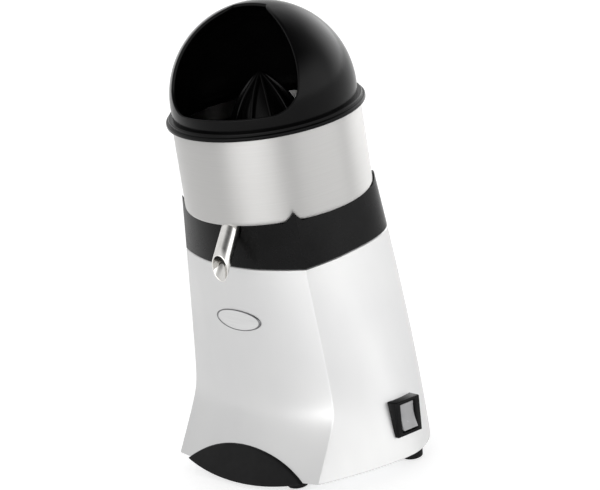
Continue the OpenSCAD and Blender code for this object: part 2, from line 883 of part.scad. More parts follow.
module motor_shaft() {
    color("silver")
    difference() {
        translate([0, 0, shaft_bottom]) cylinder(r = shaft_r, h = shaft_end - shaft_bottom);
        translate([0, 0, pin_z]) rotate([90, 0, 0]) cylinder(r = pin_r, h = 4 * shaft_r, center = true);
    }
}

module rotor_core() {
    color("slategray") translate([0, 0, stator_z]) ring(rotor_r, shaft_r, stator_h);
}

module cooling_fan() {
    color("dimgray")
    translate([0, 0, lower_bell_z - fan_gap - fan_h]) difference() {
        union() {
            cylinder(r = fan_hub_r, h = fan_h);
            translate([0, 0, fan_h - fan_plate]) cylinder(r = fan_r, h = fan_plate);
            intersection() {
                cylinder(r = fan_r, h = fan_h);
                for (i = [0 : fan_blades - 1])
                    rotate(360 * i / fan_blades) translate([0, -1, 0]) cube([fan_r, 2, fan_h]);
            }
        }
        translate([0, 0, -cut]) cylinder(r = shaft_r, h = fan_h + 2 * cut);
    }
}

module drive_pin() {
    color("silver")
    translate([0, 0, pin_z]) rotate([90, 0, 0]) cylinder(r = pin_r, h = 2 * pin_half, center = true);
}

// Profile of the bowl, from the chimney out to the rim
module bowl_profile() {
    difference() {
        union() {
            translate([dimple_in, seat_z]) square([bowl_r - bowl_edge - dimple_in, bowl_t]);
            translate([bowl_in, seat_z + bowl_edge]) square([bowl_t, bowl_h - bowl_edge]);
            translate([dimple_in, seat_z]) square([bowl_t, dimple_h + bowl_t]);
            translate([chimney_in, seat_z + dimple_h]) square([dimple_in + bowl_t - chimney_in, bowl_t]);
            translate([chimney_in, seat_z + dimple_h]) square([bowl_t, chimney_z - seat_z - dimple_h]);
            intersection() {
                translate([bowl_r - bowl_edge, seat_z + bowl_edge]) circle(bowl_edge);
                translate([bowl_r - bowl_edge, seat_z]) square(bowl_edge);
            }
        }
        translate([bowl_r - bowl_edge, seat_z + bowl_edge]) circle(bowl_edge - bowl_t);
    }
}

// The bowl as one solid block, which cuts the spout's end to fit
module bowl_block() {
    translate([0, 0, seat_z]) rotate_extrude() {
        square([bowl_r - bowl_edge, bowl_h]);
        translate([0, bowl_edge]) square([bowl_r, bowl_h - bowl_edge]);
        intersection() {
            translate([bowl_r - bowl_edge, bowl_edge]) circle(bowl_edge);
            square([bowl_r, bowl_edge]);
        }
    }
}

module spout_bore() {
    at_spout() translate([0, 0, -spout_back]) cylinder(r = spout_bore_r, h = 2 * spout_back + spout_len);
}

module bowl() {
    color("lightgray")
    difference() {
        rotate_extrude() bowl_profile();
        spout_bore();
    }
}

module spout() {
    color("silver")
    difference() {
        at_spout() translate([0, 0, -spout_back]) cylinder(r = spout_r, h = spout_back + spout_len);
        spout_bore();
        bowl_block();
        beyond_spout(spout_reach);
    }
}

// Strainer basket without its holes
module strainer_profile() {
    top = strainer_floor_z + strainer_h;
    translate([strainer_hub_in, strainer_floor_z]) square([strainer_floor_r - strainer_hub_in, strainer_t]);
    polygon([[strainer_floor_r - strainer_t, strainer_floor_z], [strainer_floor_r, strainer_floor_z],
        [strainer_r, top], [strainer_r - strainer_t, top]]);
    translate([strainer_hub_in, strainer_floor_z])
        square([strainer_hub_out - strainer_hub_in, chimney_z + strainer_t - strainer_floor_z]);
    translate([chimney_in, chimney_z]) square([strainer_hub_out - chimney_in, strainer_t]);
}

module strainer() {
    rows = floor((strainer_floor_r - strainer_hub_out - 2 * strainer_pitch) / strainer_pitch);
    color([0.1, 0.1, 0.1])
    difference() {
        rotate_extrude() strainer_profile();
        for (row = [0 : 2 : rows]) {
            r = strainer_hub_out + strainer_pitch * (row + 1);
            count = floor(PI * r / strainer_pitch);
            for (i = [0 : count - 1])
                rotate(360 * (i + row / 4) / count) translate([r, 0, strainer_floor_z - cut])
                    cylinder(r = strainer_hole_r, h = strainer_t + 2 * cut);
        }
    }
}

// Pointed dome of revolution with an arched flank
module ogive(r, h) {
    arc = (r * r + h * h) / (2 * r);
    rotate_extrude() intersection() {
        translate([r - arc, 0]) circle(arc);
        square([r, h]);
    }
}

module squeezing_cone() {
    color([0.1, 0.1, 0.1])
    translate([0, 0, cone_z]) difference() {
        union() {
            difference() {
                union() {
                    cylinder(r = cone_brim_r, h = cone_brim_t);
                    ogive(cone_core_r, cone_core_h);
                    intersection() {
                        ogive(cone_r, cone_h);
                        for (i = [0 : cone_ribs - 1])
                            rotate(360 * i / cone_ribs)
                                translate([0, -rib_t / 2, 0]) cube([cone_r, rib_t, cone_h]);
                    }
                }
                translate([0, 0, -cut]) ogive(cone_core_r - cone_shell, cone_core_h - cone_shell * 2);
            }
            intersection() {
                cylinder(r = cone_boss_r, h = cone_core_h);
                ogive(cone_core_r, cone_core_h);
            }
        }
        translate([0, 0, -cut]) cylinder(r = shaft_r + run_gap, h = shaft_end - cone_z + 2 * cut);
        translate([-pin_r - pin_gap, -pin_half - pin_gap, -cut])
            cube([2 * (pin_r + pin_gap), 2 * (pin_half + pin_gap), pin_z - cone_z + pin_r + pin_gap + cut]);
    }
}

// Arched outline of the dome's opening, about the dome's centre
module arch_outline() {
    centre = sill_h + arch_corner;
    inner = arch_r - arch_corner;
    intersection() {
        translate([0, centre]) circle(arch_r);
        translate([-arch_r, centre]) square([2 * arch_r, arch_r + cut]);
    }
    for (side = [-1, 1]) translate([side * inner, centre]) circle(arch_corner);
    translate([-inner, sill_h]) square([2 * inner, arch_corner + cut]);
}

module dome_cover() {
    color([0.05, 0.05, 0.05])
    rotate(dome_turn) difference() {
        union() {
            intersection() {
                translate([0, 0, dome_z]) sphere(dome_r);
                translate([0, 0, rim_z]) cylinder(r = dome_r + 1, h = dome_r + dome_rise + 1);
            }
            translate([0, 0, rim_z]) cylinder(r = flange_r, h = flange_t);
            translate([0, 0, rim_z]) cylinder(r = step_r, h = flange_t + step_t);
            translate([0, 0, rim_z - skirt_h]) cylinder(r = skirt_r, h = skirt_h + cut);
        }
        translate([0, 0, dome_z]) sphere(dome_in);
        translate([0, 0, rim_z - skirt_h - cut]) cylinder(r = skirt_r - skirt_t, h = skirt_h + cut);
        translate([0, 0, dome_z]) rotate([90, 0, 0]) linear_extrude(2 * dome_r) arch_outline();
    }
}

housing();
collar();
badge();
front_plaque();
base_plate();
rubber_feet();
foot_screws();
collar_screws();
upper_end_bell();
lower_end_bell();
stator_core();
stator_windings();
motor_bolts();
upper_bearing_outer_ring();
lower_bearing_outer_ring();
shaft_seal();
run_capacitor();
capacitor_bracket();
terminal_block();
switch_bezel();
switch_body();
cord_gland();
gland_cap_nut();
gland_lock_nut();
internal_wiring();
motor_shaft();
rotor_core();
cooling_fan();
drive_pin();
upper_bearing_inner_ring();
lower_bearing_inner_ring();
shaft_circlips();
upper_ball_cage();
lower_ball_cage();
bowl();
spout();
strainer();
squeezing_cone();
dome_cover();
rocker();
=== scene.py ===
import math

import bmesh
import bpy
from mathutils import Matrix, Vector


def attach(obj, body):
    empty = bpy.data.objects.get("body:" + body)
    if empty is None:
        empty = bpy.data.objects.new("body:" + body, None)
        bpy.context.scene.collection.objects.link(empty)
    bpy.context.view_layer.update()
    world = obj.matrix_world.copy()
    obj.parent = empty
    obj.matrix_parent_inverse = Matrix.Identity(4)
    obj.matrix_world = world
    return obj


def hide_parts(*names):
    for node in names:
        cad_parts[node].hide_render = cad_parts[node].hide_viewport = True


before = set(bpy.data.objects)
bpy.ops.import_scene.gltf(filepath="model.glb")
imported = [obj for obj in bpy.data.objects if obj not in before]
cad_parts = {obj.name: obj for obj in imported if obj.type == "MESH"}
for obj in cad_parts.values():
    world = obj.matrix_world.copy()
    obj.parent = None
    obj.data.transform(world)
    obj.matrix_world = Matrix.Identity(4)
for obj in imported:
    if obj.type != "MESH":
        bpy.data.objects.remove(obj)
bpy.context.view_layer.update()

# Camera: it stands at the front right, a little above the bowl, with a long lens. The
# picture is tipped, so the juicer leans to the left as it does in the photograph.
scene = bpy.context.scene
scene.view_settings.view_transform = "Standard"
camera_turn, camera_rise, camera_tip = (math.radians(d) for d in (47.0, 18.5, 9.0))
aim_height, aim_right = 0.1588, 0.0092
camera_distance, camera_reach, picture_width, sensor_width = 2.6, 30, 0.4464, 36
across = Vector((math.cos(camera_turn), math.sin(camera_turn), 0))
upward = Vector((-math.sin(camera_turn) * math.sin(camera_rise),
                 math.cos(camera_turn) * math.sin(camera_rise), math.cos(camera_rise)))
backward = across.cross(upward)
tipped_right = math.cos(camera_tip) * across - math.sin(camera_tip) * upward
tipped_up = math.sin(camera_tip) * across + math.cos(camera_tip) * upward
camera_aim = Vector((0, 0, aim_height)) + aim_right * across
camera = bpy.data.objects.new("camera", bpy.data.cameras.new("camera"))
camera.data.sensor_width = sensor_width
camera.data.lens = sensor_width * camera_distance / picture_width
camera.data.clip_end = camera_reach
camera.matrix_world = (Matrix.Translation(camera_aim + camera_distance * backward)
                       @ Matrix((tipped_right, tipped_up, backward)).transposed().to_4x4())
scene.collection.objects.link(camera)
scene.camera = camera


# Housing: a tapering cast shell with a bowed front, two sharp front ridges and a flared
# toe. It is polished metal, open below, and its top deck carries the motor.
mm = 0.001
foot_z, kink_z, seam_z, seat_z = 9, 53, 165, 200
kink_soft = 10
bowl_radius, horn_wall = 70, 3.6
ridge_angle = math.radians(53.9)
ridge_radius = bowl_radius + horn_wall
ridge_top = (ridge_radius * math.sin(ridge_angle), ridge_radius * math.cos(ridge_angle))
ridge_splay, ridge_rake, ridge_toe = 0.0946, 0.0197, 0.632
front_reach, front_rake, front_toe = 61, 0.004, 0.46
seat_half_w, base_half_w = 61, 101
seat_widest_y, base_widest_y = -12, 0
seat_rear, base_rear = 65, 70
seat_square, base_square = 3.6, 1.85
side_bow, ridge_round = 1.6, 1.5
front_steps, side_steps, rear_steps, ridge_steps = 44, 22, 40, 5
crease_angle, weld_distance, sliver = 32, 1e-6, 1e-7


def below_kink(z):
    """Distance below the kink of the shell, which fades out smoothly above it."""
    depth = kink_z - z
    return (depth + math.hypot(depth, kink_soft)) / 2


def shell_sizes(z):
    """Places of the ridge, the front, the widest point and the rear at a height."""
    fall, toe = seat_z - z, below_kink(z)
    share = fall / (seat_z - foot_z)
    return {"ridge_x": ridge_top[0] + ridge_splay * (fall - toe),
            "ridge_y": ridge_top[1] + ridge_rake * fall + ridge_toe * toe,
            "front": front_reach + front_rake * fall + front_toe * toe,
            "half_width": seat_half_w + (base_half_w - seat_half_w) * share,
            "widest_y": seat_widest_y + (base_widest_y - seat_widest_y) * share,
            "rear": seat_rear + (base_rear - seat_rear) * share,
            "squareness": seat_square + (base_square - seat_square) * share}


def face_reach(x, z, grow=0):
    """Forward reach of the bowed front face at a place across it."""
    s = shell_sizes(z)
    return s["front"] + grow - (s["front"] - s["ridge_y"]) * (x / (s["ridge_x"] + grow)) ** 2


def corner_arc(before, corner, after, radius, steps):
    """Points of a small arc that rounds a corner."""
    before, corner, after = (Vector(p) for p in (before, corner, after))
    a, b = (before - corner).normalized(), (after - corner).normalized()
    half = a.angle(b) / 2
    longest = 0.45 * min((before - corner).length, (after - corner).length)
    reach = min(radius / math.tan(half), longest)
    start, end = corner + a * reach, corner + b * reach
    centre = corner + (a + b).normalized() * (reach / math.cos(half))
    u, v = start - centre, end - centre
    turn = u.angle(v)
    arc = []
    for i in range(steps + 1):
        t = i / steps
        arc.append(tuple(centre + (u * math.sin((1 - t) * turn) + v * math.sin(t * turn)) / math.sin(turn)))
    return arc


def shell_outline(z, grow=0):
    """Outline of the shell at a height, counter-clockwise from the front middle."""
    s = shell_sizes(z)
    ridge_x, ridge_y = s["ridge_x"] + grow, s["ridge_y"] + grow
    half_width, rear_y = max(s["half_width"] + grow, ridge_x), s["rear"] + grow
    widest_y, power = s["widest_y"], 2 / s["squareness"]
    front = []
    for i in range(front_steps):
        x = ridge_x * i / front_steps
        front.append((x, -face_reach(x, z, grow)))
    side = []
    for i in range(1, side_steps):
        t = i / side_steps
        bow = (half_width - ridge_x) * (1 - t) ** side_bow
        side.append((half_width - bow, -ridge_y + (widest_y + ridge_y) * t))
    rear = []
    for i in range(rear_steps + 1):
        t = math.pi / 2 * i / rear_steps
        x = half_width * max(math.cos(t), 0) ** power
        rear.append((x, widest_y + (rear_y - widest_y) * math.sin(t) ** power))
    ridge = corner_arc(front[-1], (ridge_x, -ridge_y), side[0], ridge_round, ridge_steps)
    half = front + ridge + side + rear
    return half + [(-x, y) for x, y in half[-2:0:-1]]


def shell_row(z, grow=0):
    """The shell's outline as a row of points at its height."""
    return [(x, y, z) for x, y in shell_outline(z, grow)]


def levels(first, last, count):
    """Even steps from one value to another, with both ends."""
    return [first + (last - first) * i / count for i in range(count + 1)]


def skinned(name, rows, joined=False, sharp=crease_angle):
    """Smooth-shaded object through rows of points in millimetres, each row a closed loop.

    The last row joins the first one, or the two end rows are capped."""
    work = bmesh.new()
    loops = [[work.verts.new([c * mm for c in point]) for point in row] for row in rows]
    pairs = list(zip(loops, loops[1:]))
    if joined:
        pairs.append((loops[-1], loops[0]))
    for low, high in pairs:
        for i in range(len(low)):
            work.faces.new((low[i - 1], low[i], high[i], high[i - 1]))
    if not joined:
        work.faces.new(loops[0])
        work.faces.new(loops[-1])
    bmesh.ops.remove_doubles(work, verts=work.verts, dist=weld_distance)
    bmesh.ops.dissolve_degenerate(work, edges=work.edges, dist=sliver)
    bmesh.ops.recalc_face_normals(work, faces=work.faces)
    mesh = bpy.data.meshes.new(name)
    work.to_mesh(mesh)
    work.free()
    mesh.shade_smooth()
    mesh.set_sharp_from_angle(angle=math.radians(sharp))
    made = bpy.data.objects.new(name, mesh)
    scene.collection.objects.link(made)
    return made


def evaluated(made):
    """Bakes an object's modifiers into a plain mesh."""
    seen = made.evaluated_get(bpy.context.evaluated_depsgraph_get())
    mesh = bpy.data.meshes.new_from_object(seen)
    made.modifiers.clear()
    made.data = mesh
    return made


def carve(made, cutter, how="DIFFERENCE"):
    """Cuts one object with another, or joins them, and removes the second."""
    rule = made.modifiers.new("carve", "BOOLEAN")
    rule.operation, rule.solver, rule.object = how, "EXACT", cutter
    evaluated(made)
    made.data.set_sharp_from_angle(angle=math.radians(crease_angle))
    bpy.data.objects.remove(cutter)
    return made


shell_wall, deck_thickness, edge_round = 3, 5, 0.6
outer_levels, inner_levels = 56, 14
shell_rows = [shell_row(z, -shell_wall) for z in levels(seam_z - deck_thickness, foot_z, inner_levels)]
shell_rows.append(shell_row(foot_z, -edge_round))
shell_rows += [shell_row(z) for z in levels(foot_z + edge_round, seam_z - edge_round, outer_levels)]
shell_rows.append(shell_row(seam_z, -edge_round))
housing = skinned("shell", shell_rows)

switch_y, switch_z, switch_sink = 1, 38.5, 0.5
switch_turn, switch_roll = math.radians(-2), math.radians(-4)
switch_place = Vector((shell_sizes(switch_z)["half_width"] - switch_sink, switch_y, switch_z))
switch_frame = Matrix.Rotation(switch_turn, 3, "Z") @ Matrix.Rotation(switch_roll, 3, "X")
bezel_half_w, bezel_half_h = 12.5, 13.5
cut_inset, cut_reach = 1, 12


def at_switch(x, y, z):
    """Place in the shell's frame of a point in the switch's frame, where +X points outwards."""
    return tuple(switch_place + switch_frame @ Vector((x, y, z)))


def switch_rectangle(x, half_w, half_h):
    """Rectangle about the middle of the switch, at a distance out of the shell."""
    corners = ((-half_w, -half_h), (half_w, -half_h), (half_w, half_h), (-half_w, half_h))
    return [at_switch(x, y, z) for y, z in corners]


switch_cut = [switch_rectangle(x, bezel_half_w - cut_inset, bezel_half_h - cut_inset)
              for x in (-cut_reach, cut_reach)]
carve(housing, skinned("switch_cut", switch_cut))


def rounded(corners, steps=4):
    """Closed profile from corners of two coordinates, with a third value where a corner is rounded."""
    places = [corner[:2] for corner in corners]
    profile = []
    for i, corner in enumerate(corners):
        if len(corner) == 2:
            profile.append(corner)
        else:
            after = places[(i + 1) % len(places)]
            profile += corner_arc(places[i - 1], places[i], after, corner[2], steps)
    return profile


def round_angles(steps):
    """Even angles about a circle."""
    return [2 * math.pi * i / steps for i in range(steps)]


def turned(name, profile, steps, sharp=crease_angle):
    """Solid of revolution about Z from a closed profile of radius and height."""
    rows = [[(r * math.cos(a), r * math.sin(a), z) for r, z in profile] for a in round_angles(steps)]
    return skinned(name, rows, joined=True, sharp=sharp)


gland_z, gland_steps = 30, 64
pad_radius, pad_sink, pad_rise, pad_edge = 12, 2.5, 2, 0.8
gland_hole, hole_inward, hole_outward = 7.6, 20, 10
pad_profile = rounded([(0, -pad_sink), (pad_radius, -pad_sink), (pad_radius, pad_rise, pad_edge),
                       (0, pad_rise)])
hole_profile = [(0, -hole_inward), (gland_hole, -hole_inward), (gland_hole, hole_outward), (0, hole_outward)]
gland_place = Matrix.Translation((0, shell_sizes(gland_z)["rear"] * mm, gland_z * mm))
to_rear = gland_place @ Matrix.Rotation(-math.pi / 2, 4, "X")
for name, profile, how in (("gland_pad", pad_profile, "UNION"), ("gland_hole", hole_profile, "DIFFERENCE")):
    tool = turned(name, profile, gland_steps)
    tool.data.transform(to_rear)
    carve(housing, tool, how)

pattern_low, pattern_high = 0.3, 0.7


def finish(name, colour, rough, metal=0.0, **sockets):
    """Material whose even qualities sit on the shader's own sockets."""
    material = bpy.data.materials.new(name)
    material.use_nodes = True
    shader = material.node_tree.nodes["Principled BSDF"]
    shader.inputs["Base Color"].default_value = (*colour, 1)
    shader.inputs["Metallic"].default_value = metal
    shader.inputs["Roughness"].default_value = rough
    for socket, value in sockets.items():
        shader.inputs[socket.replace("_", " ")].default_value = value
    return material


def noise(material, scale, stretch=(1, 1, 1), detail=3.0):
    """Noise on the piece's own coordinates, in cells per metre."""
    nodes, links = material.node_tree.nodes, material.node_tree.links
    place = nodes.new("ShaderNodeTexCoord")
    spread = nodes.new("ShaderNodeMapping")
    spread.inputs["Scale"].default_value = stretch
    texture = nodes.new("ShaderNodeTexNoise")
    texture.inputs["Scale"].default_value = scale
    texture.inputs["Detail"].default_value = detail
    links.new(place.outputs["Object"], spread.inputs["Vector"])
    links.new(spread.outputs["Vector"], texture.inputs["Vector"])
    return texture.outputs["Fac"]


def tint(material, pattern, dark, light):
    """Colour that runs between two shades with a pattern."""
    nodes, links = material.node_tree.nodes, material.node_tree.links
    ramp = nodes.new("ShaderNodeValToRGB")
    first, last = ramp.color_ramp.elements
    first.position, last.position = pattern_low, pattern_high
    first.color, last.color = (*dark, 1), (*light, 1)
    links.new(pattern, ramp.inputs["Fac"])
    links.new(ramp.outputs["Color"], nodes["Principled BSDF"].inputs["Base Color"])


def map_range(tree, value, low, high, to_low, to_high, kind="LINEAR"):
    """Number that runs between two values while another runs between two limits."""
    span = tree.nodes.new("ShaderNodeMapRange")
    span.interpolation_type = kind
    limits = {"From Min": low, "From Max": high, "To Min": to_low, "To Max": to_high}
    for socket, limit in limits.items():
        span.inputs[socket].default_value = limit
    tree.links.new(value, span.inputs["Value"])
    return span.outputs["Result"]


def polish(material, pattern, smooth, rough):
    """Roughness that runs between two values with a pattern."""
    tree = material.node_tree
    span = map_range(tree, pattern, pattern_low, pattern_high, smooth, rough)
    tree.links.new(span, tree.nodes["Principled BSDF"].inputs["Roughness"])


def relief(material, pattern, strength, depth):
    """Fine relief from a pattern, with its depth in metres."""
    nodes, links = material.node_tree.nodes, material.node_tree.links
    bump = nodes.new("ShaderNodeBump")
    bump.inputs["Strength"].default_value = strength
    bump.inputs["Distance"].default_value = depth
    links.new(pattern, bump.inputs["Height"])
    links.new(bump.outputs["Normal"], nodes["Principled BSDF"].inputs["Normal"])


def wear(made, material, body, slot, *nodes):
    """Gives a piece its material, its body and the nodes that it stands for. The slot is not used."""
    made.data.materials.clear()
    made.data.materials.append(material)
    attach(made, body)
    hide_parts(*nodes)


polished_shell = finish("polished shell", (0.59, 0.59, 0.59), rough=0.42, metal=1.0)
cast_waves = noise(polished_shell, scale=14, detail=2.0)
tint(polished_shell, cast_waves, dark=(0.575, 0.575, 0.577), light=(0.605, 0.605, 0.602))
polish_marks = noise(polished_shell, scale=60, stretch=(1, 1, 0.3), detail=4.0)
polish(polished_shell, polish_marks, smooth=0.39, rough=0.45)
relief(polished_shell, noise(polished_shell, scale=25, detail=1.0), strength=0.03, depth=0.001)
wear(housing, polished_shell, "base", "polished_shell", "housing")


# Cord inlet: a hexagonal gland through a pad at the rear, with a tapered cap nut outside
# and a lock nut inside. All three are moulded in black plastic.
def dress(material, *names):
    """Gives CAD nodes a better material."""
    for name in names:
        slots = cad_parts[name].data.materials
        slots.clear()
        slots.append(material)


satin_black = finish("satin black plastic", (0.003, 0.003, 0.0031), rough=0.26, Specular_IOR_Level=0.1)
tint(satin_black, noise(satin_black, scale=40), dark=(0.0018, 0.0018, 0.0019), light=(0.004, 0.004, 0.0042))
polish(satin_black, noise(satin_black, scale=120), smooth=0.23, rough=0.29)
relief(satin_black, noise(satin_black, scale=900, detail=2.0), strength=0.05, depth=0.0003)
dress(satin_black, "cord_gland", "gland_cap_nut", "gland_lock_nut")


# Motor: two cast end bells bolted under the deck, a stack of stator sheets with its
# windings, and a rotor with a fan on a ground shaft in two ball bearings.
cast_metal = finish("cast aluminium", (0.6, 0.6, 0.6), rough=0.45, metal=0.9)
tint(cast_metal, noise(cast_metal, scale=200), dark=(0.52, 0.52, 0.52), light=(0.66, 0.66, 0.66))
relief(cast_metal, noise(cast_metal, scale=1200), strength=0.25, depth=0.0004)
dress(cast_metal, "upper_end_bell", "lower_end_bell")

sheet_stack = finish("stacked motor sheets", (0.2, 0.2, 0.22), rough=0.5, metal=0.8)
sheet_lines = noise(sheet_stack, scale=300, stretch=(0.02, 0.02, 4), detail=1.0)
tint(sheet_stack, sheet_lines, dark=(0.12, 0.12, 0.13), light=(0.3, 0.3, 0.32))
relief(sheet_stack, sheet_lines, strength=0.3, depth=0.0004)
dress(sheet_stack, "stator_core", "rotor_core")

copper = finish("varnished copper wire", (0.5, 0.22, 0.08), rough=0.35, metal=0.7)
wire_turns = noise(copper, scale=260, stretch=(0.3, 0.3, 3), detail=2.0)
tint(copper, wire_turns, dark=(0.36, 0.14, 0.05), light=(0.62, 0.3, 0.12))
relief(copper, wire_turns, strength=0.4, depth=0.0008)
dress(copper, "stator_windings")

ground_steel = finish("ground steel", (0.62, 0.62, 0.63), rough=0.2, metal=1.0)
grinding = noise(ground_steel, scale=500, stretch=(0.15, 0.15, 6), detail=2.0)
tint(ground_steel, grinding, dark=(0.56, 0.56, 0.57), light=(0.68, 0.68, 0.69))
polish(ground_steel, grinding, smooth=0.16, rough=0.28)
dress(ground_steel, "motor_shaft", "drive_pin", "shaft_circlips", "upper_bearing_outer_ring",
      "lower_bearing_outer_ring", "upper_bearing_inner_ring", "lower_bearing_inner_ring")

brass = finish("pressed brass", (0.66, 0.48, 0.2), rough=0.3, metal=1.0)
tint(brass, noise(brass, scale=400), dark=(0.58, 0.4, 0.15), light=(0.72, 0.54, 0.25))
dress(brass, "upper_ball_cage", "lower_ball_cage")

fan_plastic = finish("grey fan plastic", (0.08, 0.08, 0.085), rough=0.5)
tint(fan_plastic, noise(fan_plastic, scale=90), dark=(0.07, 0.07, 0.075), light=(0.1, 0.1, 0.105))
dress(fan_plastic, "cooling_fan")


# Base plate and fastenings: the bottom cover, the strap of the capacitor, and the bolts and
# screws that hold the motor, the collar and the feet. All are of zinc plated steel.
plated = finish("zinc plated steel", (0.62, 0.63, 0.64), rough=0.32, metal=1.0)
spangle = noise(plated, scale=150, detail=5.0)
tint(plated, spangle, dark=(0.52, 0.53, 0.55), light=(0.7, 0.71, 0.71))
polish(plated, spangle, smooth=0.26, rough=0.42)
dress(plated, "motor_bolts", "collar_screws", "foot_screws", "base_plate", "capacitor_bracket")


# Electrics: a run capacitor in a strap, a terminal block and the back of the switch,
# joined by insulated leads. They are fixed inside the shell, out of sight.
capacitor_case = finish("white capacitor case", (0.75, 0.75, 0.71), rough=0.4)
tint(capacitor_case, noise(capacitor_case, scale=70), dark=(0.7, 0.7, 0.66), light=(0.8, 0.8, 0.76))
dress(capacitor_case, "run_capacitor")

terminal_plastic = finish("cream terminal plastic", (0.66, 0.61, 0.47), rough=0.45)
tint(terminal_plastic, noise(terminal_plastic, scale=110), dark=(0.6, 0.55, 0.42), light=(0.7, 0.65, 0.52))
dress(terminal_plastic, "terminal_block")

switch_plastic = finish("dark switch plastic", (0.03, 0.03, 0.032), rough=0.45)
tint(switch_plastic, noise(switch_plastic, scale=130), dark=(0.025, 0.025, 0.027), light=(0.04, 0.04, 0.042))
dress(switch_plastic, "switch_body")

lead_cover = finish("lead insulation", (0.16, 0.06, 0.03), rough=0.45)
tint(lead_cover, noise(lead_cover, scale=160), dark=(0.13, 0.05, 0.025), light=(0.2, 0.08, 0.04))
dress(lead_cover, "internal_wiring")


# Rubber feet: four round feet with a soft lower edge and a recess for the screw that
# holds them and the base plate to the shell's pillars.
def node_tree(name, sizes):
    """Empty geometry node tree with a geometry input, named sizes and a material input."""
    tree = bpy.data.node_groups.new(name, "GeometryNodeTree")
    tree.interface.new_socket("Geometry", in_out="INPUT", socket_type="NodeSocketGeometry")
    for size, kind in sizes.items():
        tree.interface.new_socket(size, in_out="INPUT", socket_type="NodeSocket" + kind)
    tree.interface.new_socket("Material", in_out="INPUT", socket_type="NodeSocketMaterial")
    tree.interface.new_socket("Geometry", in_out="OUTPUT", socket_type="NodeSocketGeometry")
    return tree, tree.nodes.new("NodeGroupInput"), tree.nodes.new("NodeGroupOutput")


def math_node(tree, operation, a, b):
    """Number from two numbers or sockets."""
    made = tree.nodes.new("ShaderNodeMath")
    made.operation = operation
    for i, value in enumerate((a, b)):
        if isinstance(value, (int, float)):
            made.inputs[i].default_value = value
        else:
            tree.links.new(value, made.inputs[i])
    return made.outputs["Value"]


def close_tree(tree, start, end, geometry):
    """Ends a tree in real geometry with its material."""
    real = tree.nodes.new("GeometryNodeRealizeInstances")
    paint = tree.nodes.new("GeometryNodeSetMaterial")
    tree.links.new(geometry, real.inputs["Geometry"])
    tree.links.new(real.outputs["Geometry"], paint.inputs["Geometry"])
    tree.links.new(start.outputs["Material"], paint.inputs["Material"])
    tree.links.new(paint.outputs["Geometry"], end.inputs["Geometry"])


def run_tree(made, tree, **sizes):
    """Runs a tree on an object with these sizes and keeps the result as plain mesh."""
    rule = made.modifiers.new("rule", "NODES")
    rule.node_group = tree
    for item in tree.interface.items_tree:
        size = item.name.replace(" ", "_")
        if item.in_out == "INPUT" and size in sizes:
            rule[item.identifier] = sizes[size]
    return evaluated(made)


corner_tree, start, end = node_tree("mirrored corners", {
    "Front X": "Float", "Front Y": "Float", "Side X": "Float", "Side Y": "Float"})
link = corner_tree.links.new
gather = corner_tree.nodes.new("GeometryNodeJoinGeometry")
for place in ("Front", "Side"):
    for sign in (1, -1):
        offset = corner_tree.nodes.new("ShaderNodeCombineXYZ")
        move = corner_tree.nodes.new("GeometryNodeTransform")
        mirrored = math_node(corner_tree, "MULTIPLY", start.outputs[place + " X"], sign)
        link(mirrored, offset.inputs["X"])
        link(start.outputs[place + " Y"], offset.inputs["Y"])
        link(start.outputs["Geometry"], move.inputs["Geometry"])
        link(offset.outputs["Vector"], move.inputs["Translation"])
        link(move.outputs["Geometry"], gather.inputs["Geometry"])
close_tree(corner_tree, start, end, gather.outputs["Geometry"])

rubber = finish("black rubber", (0.005, 0.005, 0.0052), rough=0.7, Specular_IOR_Level=0.12)
tint(rubber, noise(rubber, scale=60), dark=(0.004, 0.004, 0.0042), light=(0.006, 0.006, 0.0062))
polish(rubber, noise(rubber, scale=150), smooth=0.62, rough=0.8)
relief(rubber, noise(rubber, scale=1500), strength=0.2, depth=0.0003)
front_foot_x, front_foot_y, side_foot_x, side_foot_y = 42, -66, 86, 12
foot_top, foot_radius, tread_radius, foot_steps = 10, 8.5, 7.7, 64
head_recess, recess_top, screw_hole = 4.4, 5, 2.0
foot_profile = rounded([(head_recess, 0, 0.5), (tread_radius, 0, 1.2), (foot_radius, foot_top, 0.4),
                        (screw_hole, foot_top), (screw_hole, recess_top), (head_recess, recess_top)])
feet = run_tree(turned("feet", foot_profile, foot_steps), corner_tree, Material=rubber,
                Front_X=front_foot_x * mm, Front_Y=front_foot_y * mm,
                Side_X=side_foot_x * mm, Side_Y=side_foot_y * mm)
wear(feet, rubber, "base", "black_rubber", "rubber_feet")
dress(rubber, "shaft_seal")


# Collar: a black moulded piece that goes on from the shell's outline to the round bowl.
# Its corners run up into horns that centre the bowl, and its hub holds the shaft seal.
horn_height, horn_over, recess_clearance = 10.5, 0.5, 0.4
collar_wall, seat_thickness, seat_ring = 3, 4, 45
wall_levels, horn_levels, horn_slices = 12, 6, 32


def recess_radius(z):
    """Radius of the flared recess that takes the bowl."""
    return bowl_radius + recess_clearance + horn_wall * (z - seat_z) / (horn_height + horn_over)


slice_heights = levels(seat_z, seat_z + horn_height, horn_slices)
slice_outlines = [shell_outline(z) for z in slice_heights]


def horn_top(i):
    """Height at which a point of the outline runs into the recess."""
    top, last_spare = seat_z, 0
    for z, outline in zip(slice_heights, slice_outlines):
        spare = math.hypot(*outline[i]) - recess_radius(z)
        if spare > 0:
            top, last_spare = z, spare
        elif top > seat_z:
            return top + (z - top) * last_spare / (last_spare - spare)
        else:
            return seat_z
    return top


def horn_point(i, z):
    """Point of the outline at a height over the seat, between two of its slices."""
    place = (z - seat_z) / horn_height * horn_slices
    k = min(int(place), horn_slices - 1)
    (x, y), (next_x, next_y) = slice_outlines[k][i], slice_outlines[k + 1][i]
    return x + (next_x - x) * (place - k), y + (next_y - y) * (place - k), z


